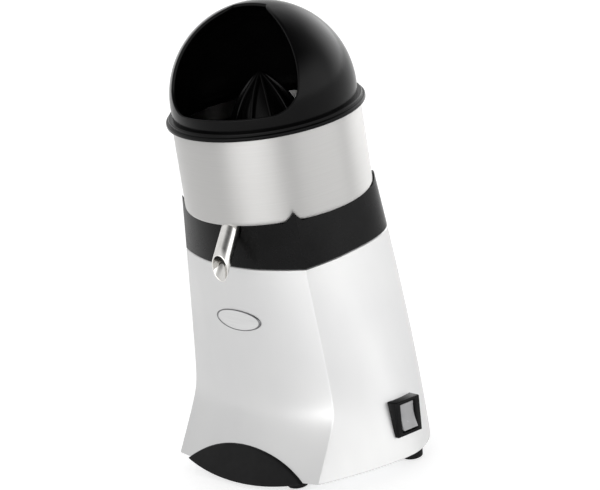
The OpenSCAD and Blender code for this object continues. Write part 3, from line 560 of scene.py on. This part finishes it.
def down_recess(crest_point, share):
    """Place on the recess below a point of the crest, at a share of the way down to the seat."""
    x, y, z = crest_point
    if z <= seat_z:
        return crest_point
    level = z + (seat_z - z) * share
    inward = recess_radius(level) / math.hypot(x, y)
    return x * inward, y * inward, level


horn_tops = [horn_top(i) for i in range(len(slice_outlines[0]))]
collar_rows = [shell_row(seam_z, -edge_round)]
collar_rows += [shell_row(z) for z in levels(seam_z + edge_round, seat_z, wall_levels)]
for share in levels(0, 1, horn_levels)[1:]:
    collar_rows.append([horn_point(i, seat_z + (top - seat_z) * share) for i, top in enumerate(horn_tops)])
crest = collar_rows[-1]
for share in levels(0, 1, horn_levels)[1:]:
    collar_rows.append([down_recess(point, share) for point in crest])
seat_edge = collar_rows[-1]


def hub_ring(radius, z):
    """Circle about the shaft, with a point towards each point of the seat's edge."""
    return [(radius * x / math.hypot(x, y), radius * y / math.hypot(x, y), z) for x, y, _ in seat_edge]


hub_radius, hub_top, hub_bottom = 18, 212, 186
seal_radius, seal_floor, shaft_hole = 14, 205, 9
seat_floor = seat_z - seat_thickness
hub_profile = rounded([(seat_ring, seat_z), (hub_radius, seat_z, 1.0), (hub_radius, hub_top, 1.2),
                       (seal_radius, hub_top, 0.4), (seal_radius, seal_floor), (shaft_hole, seal_floor),
                       (shaft_hole, hub_bottom), (hub_radius, hub_bottom), (hub_radius, seat_floor)])
collar_rows += [hub_ring(radius, z) for radius, z in hub_profile]
collar_rows += [shell_row(z, -collar_wall) for z in (seat_floor, (seat_z + seam_z) / 2, seam_z)]
collar = skinned("bowl_collar", collar_rows, joined=True, sharp=28)

tube_radius, tube_wall = 7, 0.8
bowl_turn, spout_slope = math.radians(10), math.radians(49)
spout_turn = bowl_turn - math.pi / 2
spout_inset, spout_drop, spout_out = 0.5, 1.5, 14.5
spout_inward, spout_reach = bowl_radius - tube_radius - spout_inset, bowl_radius + spout_out
spout_outward = Vector((math.cos(spout_turn), math.sin(spout_turn), 0))
spout_root = spout_inward * spout_outward + Vector((0, 0, seat_z - spout_drop))
spout_way = math.cos(spout_slope) * spout_outward - Vector((0, 0, math.sin(spout_slope)))
spout_side = Vector((-math.sin(spout_turn), math.cos(spout_turn), 0))
spout_top = spout_way.cross(spout_side)


def about_spout(radius, angle, way):
    """Place at a distance from the spout's axis, an angle about it and a way down it."""
    return tuple(spout_root + way * spout_way
                 + radius * (math.cos(angle) * spout_side + math.sin(angle) * spout_top))


def rod(name, radius, first, last, steps=64):
    """Plain rod on the spout's axis, which cuts another piece."""
    ends = [[about_spout(radius, a, way) for a in round_angles(steps)] for way in (first, last)]
    return skinned(name, ends)


notch_gap, rod_start, notch_end = 1, -20, 22
carve(collar, rod("spout_notch", tube_radius + notch_gap, rod_start, notch_end))
wear(collar, satin_black, "base", "satin_black_plastic", "collar")


# Badge: a thin bare oval of satin metal with a raised rim, pressed to the curve of the
# front face and glued there. A dark line of painted shade runs along its rim and outer edge.
def on_face(x, z, lift):
    """Place over the bowed front face, at a lift off it."""
    return x, -face_reach(x, z, lift), z


glue_gap = 0.02
badge_half_w, badge_half_h, badge_z, badge_steps = 23, 8, 123, 96
rim_lift, field_lift = 0.8, 0.45
badge_rings = [(1.0, glue_gap), (1.0, 0.55), (0.985, 0.78), (0.955, rim_lift), (0.93, 0.72),
               (0.915, field_lift), (0.6, field_lift), (0.3, field_lift)]
badge_rows = []
for share, lift in badge_rings:
    half_w, half_h = share * badge_half_w, share * badge_half_h
    badge_rows.append([on_face(half_w * math.cos(a), badge_z + half_h * math.sin(a), lift)
                       for a in round_angles(badge_steps)])
badge = skinned("oval_badge", badge_rows, sharp=40)
badge_metal = finish("satin badge metal", (0.6, 0.6, 0.6), rough=0.34, metal=1.0)
badge_lines = noise(badge_metal, scale=300, stretch=(0.1, 1, 5), detail=2.0)
tint(badge_metal, badge_lines, dark=(0.58, 0.58, 0.58), light=(0.63, 0.63, 0.63))
polish(badge_metal, badge_lines, smooth=0.28, rough=0.4)
# Painted shade: the badge's colour turns dark grey towards its rim and outer edge.
rim_shade_start, rim_shade_full, rim_shade_colour = 0.9, 0.94, (0.16, 0.16, 0.165, 1)
badge_nodes, badge_links = badge_metal.node_tree.nodes, badge_metal.node_tree.links
badge_place = badge_nodes.new("ShaderNodeTexCoord")
badge_oval = badge_nodes.new("ShaderNodeMapping")
badge_oval.inputs["Scale"].default_value = (1 / (badge_half_w * mm), 0, 1 / (badge_half_h * mm))
badge_oval.inputs["Location"].default_value = (0, 0, -badge_z / badge_half_h)
badge_reach = badge_nodes.new("ShaderNodeVectorMath")
badge_reach.operation = "LENGTH"
rim_shade = badge_nodes.new("ShaderNodeMix")
rim_shade.data_type = "RGBA"
rim_shade.inputs["B"].default_value = rim_shade_colour
badge_colour = badge_nodes["Principled BSDF"].inputs["Base Color"]
badge_links.new(badge_place.outputs["Object"], badge_oval.inputs["Vector"])
badge_links.new(badge_oval.outputs["Vector"], badge_reach.inputs[0])
rim_shade_mask = map_range(badge_metal.node_tree, badge_reach.outputs["Value"], rim_shade_start, rim_shade_full, 0, 1,
                     "SMOOTHSTEP")
badge_links.new(rim_shade_mask, rim_shade.inputs["Factor"])
badge_links.new(badge_colour.links[0].from_socket, rim_shade.inputs["A"])
badge_links.new(rim_shade.outputs["Result"], badge_colour)
wear(badge, badge_metal, "base", "badge_metal", "badge")


# Plaque: a bare leaf-shaped cover of matt black plastic on the toe, with a soft edge.
# It follows the flare of the front and hangs a little below the shell.
plaque_half_w, plaque_rise, plaque_droop, plaque_thick = 60, 19, 6.5, 2.4
plaque_middle, plaque_steps = 4.0, 72


def leaf_edge(t):
    """Point on the leaf's outline; t runs from 0 to 2 about the two arcs."""
    height, sign = (plaque_rise, 1) if t < 1 else (plaque_droop, -1)
    radius = (plaque_half_w ** 2 + height ** 2) / (2 * height)
    spread = math.asin(plaque_half_w / radius)
    a = spread * (1 - 2 * (t % 1))
    return sign * radius * math.sin(a), sign * (radius * math.cos(a) - radius + height)


leaf = [leaf_edge(i / plaque_steps) for i in range(2 * plaque_steps)]
plaque_rings = [(share, glue_gap) for share in (0.2, 0.4, 0.6, 0.8)]
plaque_rings += [(1.0, glue_gap), (1.0, 1.5), (0.994, 2.0), (0.98, 2.3), (0.96, plaque_thick)]
plaque_rings += [(tenths / 10, plaque_thick) for tenths in range(9, 0, -1)]
plaque_rows = []
for share, lift in plaque_rings:
    plaque_rows.append([on_face(x * share, foot_z + plaque_middle + (h - plaque_middle) * share, lift)
                        for x, h in leaf])
plaque = skinned("toe_plaque", plaque_rows, sharp=40)
matt_black = finish("matt black plastic", (0.005, 0.005, 0.0053), rough=0.55, Specular_IOR_Level=0.12)
tint(matt_black, noise(matt_black, scale=45), dark=(0.004, 0.004, 0.0042), light=(0.006, 0.006, 0.0063))
polish(matt_black, noise(matt_black, scale=200), smooth=0.5, rough=0.62)
relief(matt_black, noise(matt_black, scale=1400, detail=1.0), strength=0.12, depth=0.0003)
wear(plaque, matt_black, "base", "satin_black_plastic", "front_plaque")


# Switch: a deep black bezel snapped into the right side, with a grey rocker that tips
# about a pin across its middle.
def soften(made, width, steps=3, limit=30, sharp=40):
    """Rounds a piece's edges by a width in millimetres."""
    rule = made.modifiers.new("soften", "BEVEL")
    rule.width, rule.segments = width * mm, steps
    rule.limit_method, rule.angle_limit = "ANGLE", math.radians(limit)
    evaluated(made)
    made.data.shade_smooth()
    made.data.set_sharp_from_angle(angle=math.radians(sharp))
    return made


rocker_w, rocker_h, rocker_tilt, pivot_x = 14, 19.6, math.radians(9), 1
bezel_out, bezel_in, pocket_floor, rocker_gap, pocket_gap = 5.5, -6, -5, 0.3, 0.6
pocket_half_w = rocker_w / 2 + rocker_gap
pocket_half_h = rocker_h / 2 + pocket_gap + (bezel_out - pivot_x) * math.sin(rocker_tilt)
bezel_rows = [switch_rectangle(x, bezel_half_w, bezel_half_h) for x in (bezel_in, bezel_out)]
bezel_rows += [switch_rectangle(x, pocket_half_w, pocket_half_h) for x in (bezel_out, pocket_floor)]
bezel = soften(skinned("switch_frame", bezel_rows), width=0.8)
wear(bezel, satin_black, "base", "satin_black_plastic", "switch_bezel")

rocker_rise, rocker_dish, dish_steps = 0.4, 1.8, 12
rocker_heel, heel_half, rocker_shoulder = -2.5, 3, 3
rocker_face, rocker_half = bezel_out - pivot_x + rocker_rise, rocker_h / 2
rocker_profile = [(rocker_heel, -heel_half), (rocker_shoulder, -rocker_half)]
for share in levels(-1, 1, dish_steps):
    rocker_profile.append((rocker_face - rocker_dish * (1 - share ** 2), rocker_half * share))
rocker_profile += [(rocker_shoulder, rocker_half), (rocker_heel, heel_half)]
tilt_cos, tilt_sin = math.cos(rocker_tilt), math.sin(rocker_tilt)
tilted = [(pivot_x + tilt_cos * x - tilt_sin * h, tilt_sin * x + tilt_cos * h) for x, h in rocker_profile]
rocker_rows = [[at_switch(x, y, z) for x, z in tilted] for y in (-rocker_w / 2, rocker_w / 2)]
rocker = soften(skinned("switch_rocker", rocker_rows), width=0.5)
rocker_grey = finish("grey rocker plastic", (0.28, 0.28, 0.285), rough=0.22)
tint(rocker_grey, noise(rocker_grey, scale=80), dark=(0.26, 0.26, 0.265), light=(0.3, 0.3, 0.305))
polish(rocker_grey, noise(rocker_grey, scale=300), smooth=0.18, rough=0.28)
wear(rocker, rocker_grey, "rocker", "rocker_plastic", "rocker")


# Bowl: a drawn stainless bowl, brushed round its outside, with a raised middle that goes
# over the hub and a chimney round the shaft. It lifts off the collar.
rim_z, sheet, bowl_edge = 266, 1.2, 4.0
dimple_in, dimple_top, chimney_in, chimney_top = 19.2, 215, 8.5, 240
bowl_in, dimple_out, chimney_out = bowl_radius - sheet, dimple_in + sheet, chimney_in + sheet
bowl_steps, bowl_corner_steps = 256, 8
bowl_profile = rounded([
    (chimney_in, chimney_top, 0.3), (chimney_in, dimple_top, 0.6), (dimple_in, dimple_top, 1.6),
    (dimple_in, seat_z, 0.8), (bowl_radius, seat_z, bowl_edge), (bowl_radius, rim_z, 0.4),
    (bowl_in, rim_z, 0.4), (bowl_in, seat_z + sheet, bowl_edge - sheet), (dimple_out, seat_z + sheet, 1.6),
    (dimple_out, dimple_top + sheet, 0.6), (chimney_out, dimple_top + sheet, 1.6),
    (chimney_out, chimney_top, 0.3)], bowl_corner_steps)
bowl = turned("steel_bowl", bowl_profile, bowl_steps, sharp=40)
tube_bore, outlet_end = tube_radius - tube_wall, 12
carve(bowl, rod("bowl_outlet", tube_bore, rod_start, outlet_end))
brushed = finish("brushed stainless steel", (0.5, 0.495, 0.487), rough=0.4, metal=1.0, Anisotropic=0.96,
                 Anisotropic_Rotation=0.25)
brush_lines = noise(brushed, scale=420, stretch=(0.06, 0.06, 8))
tint(brushed, brush_lines, dark=(0.48, 0.476, 0.468), light=(0.52, 0.515, 0.507))
polish(brushed, brush_lines, smooth=0.36, rough=0.42)
relief(brushed, brush_lines, strength=0.02, depth=0.0002)
round_the_bowl = brushed.node_tree.nodes.new("ShaderNodeTangent")
round_the_bowl.direction_type, round_the_bowl.axis = "RADIAL", "Z"
brushed.node_tree.links.new(round_the_bowl.outputs["Tangent"],
                            brushed.node_tree.nodes["Principled BSDF"].inputs["Tangent"])
wear(bowl, brushed, "bowl", "brushed_steel", "bowl")


# Spout: a short polished steel tube brazed under the bowl's edge. It slopes down over
# the front face, and its mouth is cut upright.
polished_steel = finish("polished steel", (0.7, 0.69, 0.67), rough=0.14, metal=1.0)
tube_lines = noise(polished_steel, scale=200, stretch=(1, 1, 0.4))
tint(polished_steel, tube_lines, dark=(0.64, 0.63, 0.61), light=(0.76, 0.75, 0.73))
polish(polished_steel, tube_lines, smooth=0.1, rough=0.2)
search_from, search_step, braze_overlap = 30.0, 0.05, 0.1
tube_steps = 72
tube_angles = round_angles(tube_steps)


def in_bowl(x, y, z):
    """Whether a place lies inside the bowl's outer surface, with its rounded edge."""
    radius, rise = math.hypot(x, y), z - seat_z
    if radius > bowl_radius - bowl_edge and rise < bowl_edge:
        return math.hypot(radius - bowl_radius + bowl_edge, rise - bowl_edge) < bowl_edge
    return radius < bowl_radius and rise > 0


def tube_start(angle):
    """Way down the tube at which its outside leaves the bowl."""
    way = search_from
    while not in_bowl(*about_spout(tube_radius, angle, way)):
        way -= search_step
    return way - braze_overlap


def tube_mouth(radius, angle):
    """Way down the tube to its upright mouth."""
    drop = radius * math.sin(angle) * math.sin(spout_slope)
    return (spout_reach - spout_inward - drop) / math.cos(spout_slope)


def tube_row(radius, share):
    """Row about the tube at a share of the way from the bowl to the mouth."""
    row = []
    for a in tube_angles:
        first, last = tube_start(a), tube_mouth(radius, a)
        row.append(about_spout(radius, a, first * (1 - share) + last * share))
    return row


lip_round, lip_shoulder, lip_cut = 0.3, 0.1, 0.08
lip_rings = [(tube_radius, lip_round), (tube_radius - lip_shoulder, lip_cut), (tube_radius - lip_round, 0),
             (tube_bore + lip_round, 0), (tube_bore + lip_shoulder, lip_cut), (tube_bore, lip_round)]
tube_rows = [tube_row(tube_radius, share) for share in (0, 0.25, 0.5, 0.75)]
for radius, back in lip_rings:
    tube_rows.append([about_spout(radius, a, tube_mouth(radius, a) - back) for a in tube_angles])
tube_rows += [tube_row(tube_bore, share) for share in (0.66, 0.33, 0)]
tube = skinned("spout_tube", tube_rows, joined=True, sharp=40)
wear(tube, polished_steel, "bowl", "polished_steel", "spout")


# Strainer: a black moulded basket that hangs on the chimney, with rings of round holes
# in its floor. It lifts out of the bowl.
gloss_black = finish("gloss black plastic", (0.002, 0.002, 0.0021), rough=0.2, Specular_IOR_Level=0.1)
tint(gloss_black, noise(gloss_black, scale=30), dark=(0.0012, 0.0012, 0.0013),
     light=(0.0025, 0.0025, 0.0026))
polish(gloss_black, noise(gloss_black, scale=60, detail=2.0), smooth=0.19, rough=0.22)
drop_gap, strainer_wall, strainer_floor, strainer_top = 0.4, 1, 226, 248
strainer_radius, floor_radius, strainer_steps = 64, 59, 192
sleeve_in, sleeve_wall = chimney_out + drop_gap, 1.5
sleeve_out, sleeve_top = sleeve_in + sleeve_wall, chimney_top + strainer_wall
basket_profile = rounded([
    (chimney_in, chimney_top, 0.2), (chimney_in, sleeve_top, 0.3), (sleeve_out, sleeve_top, 0.8),
    (sleeve_out, strainer_floor + strainer_wall, 1.2),
    (floor_radius - strainer_wall, strainer_floor + strainer_wall, 1.5),
    (strainer_radius - strainer_wall, strainer_top, 0.4), (strainer_radius, strainer_top, 0.4),
    (floor_radius, strainer_floor, 2.5), (sleeve_in, strainer_floor, 0.4), (sleeve_in, chimney_top, 0.4)])
basket = turned("strainer_basket", basket_profile, strainer_steps, sharp=40)

ring_tree, start, end = node_tree("rings of holes", {
    "Inner Radius": "Float", "Pitch": "Float", "Hole Radius": "Float", "Hole Depth": "Float",
    "Height": "Float"})
link = ring_tree.links.new
hole_rings, hole_sides = 8, 20
gather = ring_tree.nodes.new("GeometryNodeJoinGeometry")
for ring in range(hole_rings):
    outward = math_node(ring_tree, "MULTIPLY", start.outputs["Pitch"], ring)
    radius = math_node(ring_tree, "ADD", start.outputs["Inner Radius"], outward)
    length = math_node(ring_tree, "MULTIPLY", radius, 2 * math.pi)
    count = math_node(ring_tree, "FLOOR", math_node(ring_tree, "DIVIDE", length, start.outputs["Pitch"]), 0)
    circle = ring_tree.nodes.new("GeometryNodeMeshCircle")
    link(count, circle.inputs["Vertices"])
    link(radius, circle.inputs["Radius"])
    link(circle.outputs["Mesh"], gather.inputs["Geometry"])
punch = ring_tree.nodes.new("GeometryNodeMeshCylinder")
punch.inputs["Vertices"].default_value = hole_sides
link(start.outputs["Hole Depth"], punch.inputs["Depth"])
link(start.outputs["Hole Radius"], punch.inputs["Radius"])
punches = ring_tree.nodes.new("GeometryNodeInstanceOnPoints")
link(gather.outputs["Geometry"], punches.inputs["Points"])
link(punch.outputs["Mesh"], punches.inputs["Instance"])
punch_level = ring_tree.nodes.new("ShaderNodeCombineXYZ")
link(start.outputs["Height"], punch_level.inputs["Z"])
raise_punches = ring_tree.nodes.new("GeometryNodeTransform")
link(punches.outputs["Instances"], raise_punches.inputs["Geometry"])
link(punch_level.outputs["Vector"], raise_punches.inputs["Translation"])
real_punches = ring_tree.nodes.new("GeometryNodeRealizeInstances")
link(raise_punches.outputs["Geometry"], real_punches.inputs["Geometry"])
perforate = ring_tree.nodes.new("GeometryNodeMeshBoolean")
perforate.operation, perforate.solver = "DIFFERENCE", "MANIFOLD"
link(start.outputs["Geometry"], perforate.inputs["Mesh 1"])
link(real_punches.outputs["Geometry"], perforate.inputs["Mesh 2"])
close_tree(ring_tree, start, end, perforate.outputs["Mesh"])
run_tree(basket, ring_tree, Material=gloss_black, Inner_Radius=16.8 * mm, Pitch=5.2 * mm,
         Hole_Radius=1.5 * mm, Hole_Depth=6 * mm, Height=strainer_floor * mm)
basket.data.set_sharp_from_angle(angle=math.radians(crease_angle))
wear(basket, gloss_black, "strainer", "gloss_black_plastic", "strainer")


# Cone: a moulded black cone that drops over the shaft and is turned by its cross pin.
# Ten ribs run up its flank to the tip.
cone_z, cone_steps, core_levels, rib_levels, rib_count = 241.4, 128, 32, 28, 10
core_base, core_height, rib_base, rib_height = 26.5, 51.45, 30, 56
brim_radius, brim_thick = 32, 2
hollow_base, hollow_height, boss_radius, boss_top = 24, 46.45, 10.5, 34
hollow_levels = (8, 16, 24, 32)
pin_room, pin_room_top, shaft_bore, bore_top = 8.6, 11, 6.4, 20.9


def ogive(base, height, z):
    """Radius of a pointed dome of revolution at a height."""
    arc = (base ** 2 + height ** 2) / (2 * base)
    return math.sqrt(max(arc ** 2 - z ** 2, 0)) - arc + base


def merged(made, other):
    """Puts a second piece's mesh into the first piece."""
    work = bmesh.new()
    work.from_mesh(made.data)
    work.from_mesh(other.data)
    work.to_mesh(made.data)
    work.free()
    bpy.data.objects.remove(other)
    return made


core_profile = [(0, core_height)]
for z in levels(core_height, 0, core_levels)[1:-2]:
    core_profile.append((ogive(core_base, core_height, z), z))
core_profile += [(brim_radius, brim_thick), (brim_radius, 0), (hollow_base, 0)]
core_profile += [(ogive(hollow_base, hollow_height, z), z) for z in hollow_levels]
core_profile += [(boss_radius, boss_top), (boss_radius, 0), (pin_room, 0), (pin_room, pin_room_top),
                 (shaft_bore, pin_room_top), (shaft_bore, bore_top), (0, bore_top)]
cone = turned("ribbed_cone", [(r, z + cone_z) for r, z in core_profile], cone_steps, sharp=40)

rib_foot, rib_end, rib_sink, rib_half, tip_share = 1, 55.6, 1.5, 1.2, 0.8
flank_drop, crest_drop, crest_shoulder, crest_half = 1, 0.25, 0.75, 0.3
rib_rows = []
for z in levels(rib_foot, rib_end, rib_levels):
    out = ogive(rib_base, rib_height, z)
    inside = max(ogive(core_base, core_height, z) - rib_sink, 0)
    half = min(rib_half, tip_share * out)
    flank = [(inside, -half), (max(out - flank_drop, inside), -half),
             (out - crest_drop, -crest_shoulder * half), (out, -crest_half * half)]
    section = flank + [(x, -y) for x, y in flank[::-1]]
    rib_rows.append([(x, y, z + cone_z) for x, y in section])
rib = skinned("cone_rib", rib_rows, sharp=50)
axis_tree, start, end = node_tree("around the axis", {"Count": "Int"})
link = axis_tree.links.new
places = axis_tree.nodes.new("GeometryNodePoints")
index = axis_tree.nodes.new("GeometryNodeInputIndex")
spin = axis_tree.nodes.new("ShaderNodeCombineXYZ")
swing = axis_tree.nodes.new("FunctionNodeEulerToRotation")
copies = axis_tree.nodes.new("GeometryNodeInstanceOnPoints")
step = math_node(axis_tree, "DIVIDE", 2 * math.pi, start.outputs["Count"])
link(start.outputs["Count"], places.inputs["Count"])
link(math_node(axis_tree, "MULTIPLY", index.outputs["Index"], step), spin.inputs["Z"])
link(spin.outputs["Vector"], swing.inputs["Euler"])
link(swing.outputs["Rotation"], copies.inputs["Rotation"])
link(places.outputs["Points"], copies.inputs["Points"])
link(start.outputs["Geometry"], copies.inputs["Instance"])
close_tree(axis_tree, start, end, copies.outputs["Instances"])
merged(cone, run_tree(rib, axis_tree, Material=gloss_black, Count=rib_count))
wear(cone, gloss_black, "cone", "gloss_black_plastic", "squeezing_cone")


# Dome: a gloss black moulded cover with an arched opening for the fruit, turned towards
# the right. A stepped flange and a skirt seat it loosely on the bowl's rim.
dome_turn, dome_z, dome_radius, dome_wall = math.radians(19), 279, 69, 2.5
arch_radius, arch_corner, sill = 51.5, 16, 2
arch_half = arch_radius - arch_corner
dome_steps, dome_levels, dome_inner_levels = 288, 60, 30
dome_foot_radius = math.sqrt(dome_radius ** 2 - (dome_z - rim_z) ** 2)


def arch_point(t):
    """Point on the right half of the arch's outline, from the middle of the sill to the top."""
    corner_length, side_length = arch_corner * math.pi / 2, arch_radius * math.pi / 2
    way = t * (arch_half + corner_length + side_length)
    if way < arch_half:
        return way, sill
    if way < arch_half + corner_length:
        a = (way - arch_half) / arch_corner - math.pi / 2
        return arch_half + arch_corner * math.cos(a), sill + arch_corner * (1 + math.sin(a))
    a = (way - arch_half - corner_length) / arch_radius
    return arch_radius * math.cos(a), sill + arch_corner + arch_radius * math.sin(a)


dome_edge, dome_foot = [], []
for i in range(dome_steps):
    s = i / dome_steps
    x, z = arch_point(2 * min(s, 1 - s))
    x = x if s < 0.5 else -x
    dome_edge.append(Vector((x, -math.sqrt(max(dome_radius ** 2 - x * x - z * z, 0)), z)).normalized())
    a = 2 * math.pi * s - math.pi / 2
    foot = Vector((dome_foot_radius * math.cos(a), dome_foot_radius * math.sin(a), rim_z - dome_z))
    dome_foot.append(foot.normalized())


def dome_row(distance, depth, share=0.0):
    """Loop round the dome at a distance from the opening's edge, plus a share of the way to its foot."""
    dome_swing = Matrix.Rotation(dome_turn, 3, "Z")
    row = []
    for edge, foot in zip(dome_edge, dome_foot):
        part = distance / dome_radius / edge.angle(foot)
        way = edge.slerp(foot, part + (1 - part) * share)
        row.append(tuple(dome_swing @ way * (dome_radius - depth) + Vector((0, 0, dome_z))))
    return row


arch_round, arch_cut = 0.8, 0.23
arch_rim = ((arch_cut, dome_wall - arch_cut), (0, dome_wall - arch_round), (0, arch_round),
            (arch_cut, arch_cut))
dome_rows = [dome_row(arch_round, 0, share) for share in levels(0, 1, dome_levels)]
dome_rows += [dome_row(arch_round, dome_wall, share) for share in levels(1, 0, dome_inner_levels)]
dome_rows += [dome_row(distance, depth) for distance, depth in arch_rim]
dome = skinned("splash_dome", dome_rows, joined=True, sharp=50)
skirt_drop, skirt_thick, flange_out, flange_thick, step_out, step_thick = 6, 2, 4, 3, 2, 2.5
skirt_out = bowl_in - drop_gap
skirt_in, skirt_low = skirt_out - skirt_thick, rim_z - skirt_drop
flange_radius, step_radius = bowl_radius + flange_out, bowl_radius + step_out
flange_top, step_top, dome_seat = rim_z + flange_thick, rim_z + flange_thick + step_thick, 67.4
flange_profile = rounded([
    (skirt_in, skirt_low, 0.4), (skirt_out, skirt_low, 0.4), (skirt_out, rim_z, 0.2),
    (flange_radius, rim_z, 0.8), (flange_radius, flange_top, 0.9), (step_radius, flange_top, 0.3),
    (step_radius, step_top, 0.9), (dome_seat, step_top), (skirt_in, rim_z)])
merged(dome, turned("flange", flange_profile, bowl_steps, sharp=40))
wear(dome, gloss_black, "dome", "gloss_black_plastic", "dome_cover")


# Floor: a plain pale surface a hair below the feet, which goes far past the picture. It
# glows a little, so that the picture's ground comes out white.
floor_half, floor_z = 40, -0.0002
floor_corners = [(x * floor_half, y * floor_half, floor_z) for x, y in ((-1, -1), (1, -1), (1, 1), (-1, 1))]
floor = bpy.data.objects.new("floor", bpy.data.meshes.new("floor"))
floor.data.from_pydata(floor_corners, [], [(0, 1, 2, 3)])
scene.collection.objects.link(floor)
pale = finish("pale floor", (0.6, 0.6, 0.6), rough=0.6, Emission_Color=(1, 1, 1, 1), Emission_Strength=0.6)
tint(pale, noise(pale, scale=2), dark=(0.59, 0.59, 0.59), light=(0.61, 0.61, 0.61))
floor.data.materials.append(pale)


# Light: a white room with a dark patch high above the right, which keeps the dome black,
# and three brighter sides. Each is a turn, a rise, an outer and an inner half angle in
# degrees, and the brightness of its middle. A weak soft box stands behind.
dark_ceiling = (10, 70, 54, 25, 0.1)
front_side = (-67, -18, 52, 8, 5.2)
right_side = (16, -3, 50, 18, 2.5)
rear_side = (90, -2, 40, 12, 3.2)
room = bpy.data.worlds.new("room")
room.use_nodes = True
room_nodes, room_links = room.node_tree.nodes, room.node_tree.links
room_light = 0.95
heading = room_nodes.new("ShaderNodeTexCoord")
for *angles, middle in (dark_ceiling, front_side, right_side, rear_side):
    turn, rise, outer, inner = (math.radians(d) for d in angles)
    nearness = room_nodes.new("ShaderNodeVectorMath")
    nearness.operation = "DOT_PRODUCT"
    nearness.inputs[1].default_value = (math.cos(rise) * math.cos(turn), math.cos(rise) * math.sin(turn),
                                        math.sin(rise))
    room_links.new(heading.outputs["Generated"], nearness.inputs[0])
    fade = map_range(room.node_tree, nearness.outputs["Value"], math.cos(outer), math.cos(inner), 1, middle,
                     "SMOOTHSTEP")
    room_light = math_node(room.node_tree, "MULTIPLY", fade, room_light)
room_links.new(room_light, room_nodes["Background"].inputs["Strength"])
room_nodes["Background"].inputs["Color"].default_value = (1, 1, 1, 1)
scene.world = room
box_place, box_aim, box_power, box_size = Vector((-0.4, 2.4, 1.0)), Vector((0, 0, 0.15)), 4, 2
soft_box = bpy.data.objects.new("soft_box", bpy.data.lights.new("soft_box", "AREA"))
soft_box.data.energy, soft_box.data.size = box_power, box_size
soft_box.location = box_place
soft_box.rotation_euler = (box_aim - box_place).to_track_quat("-Z", "Y").to_euler()
scene.collection.objects.link(soft_box)
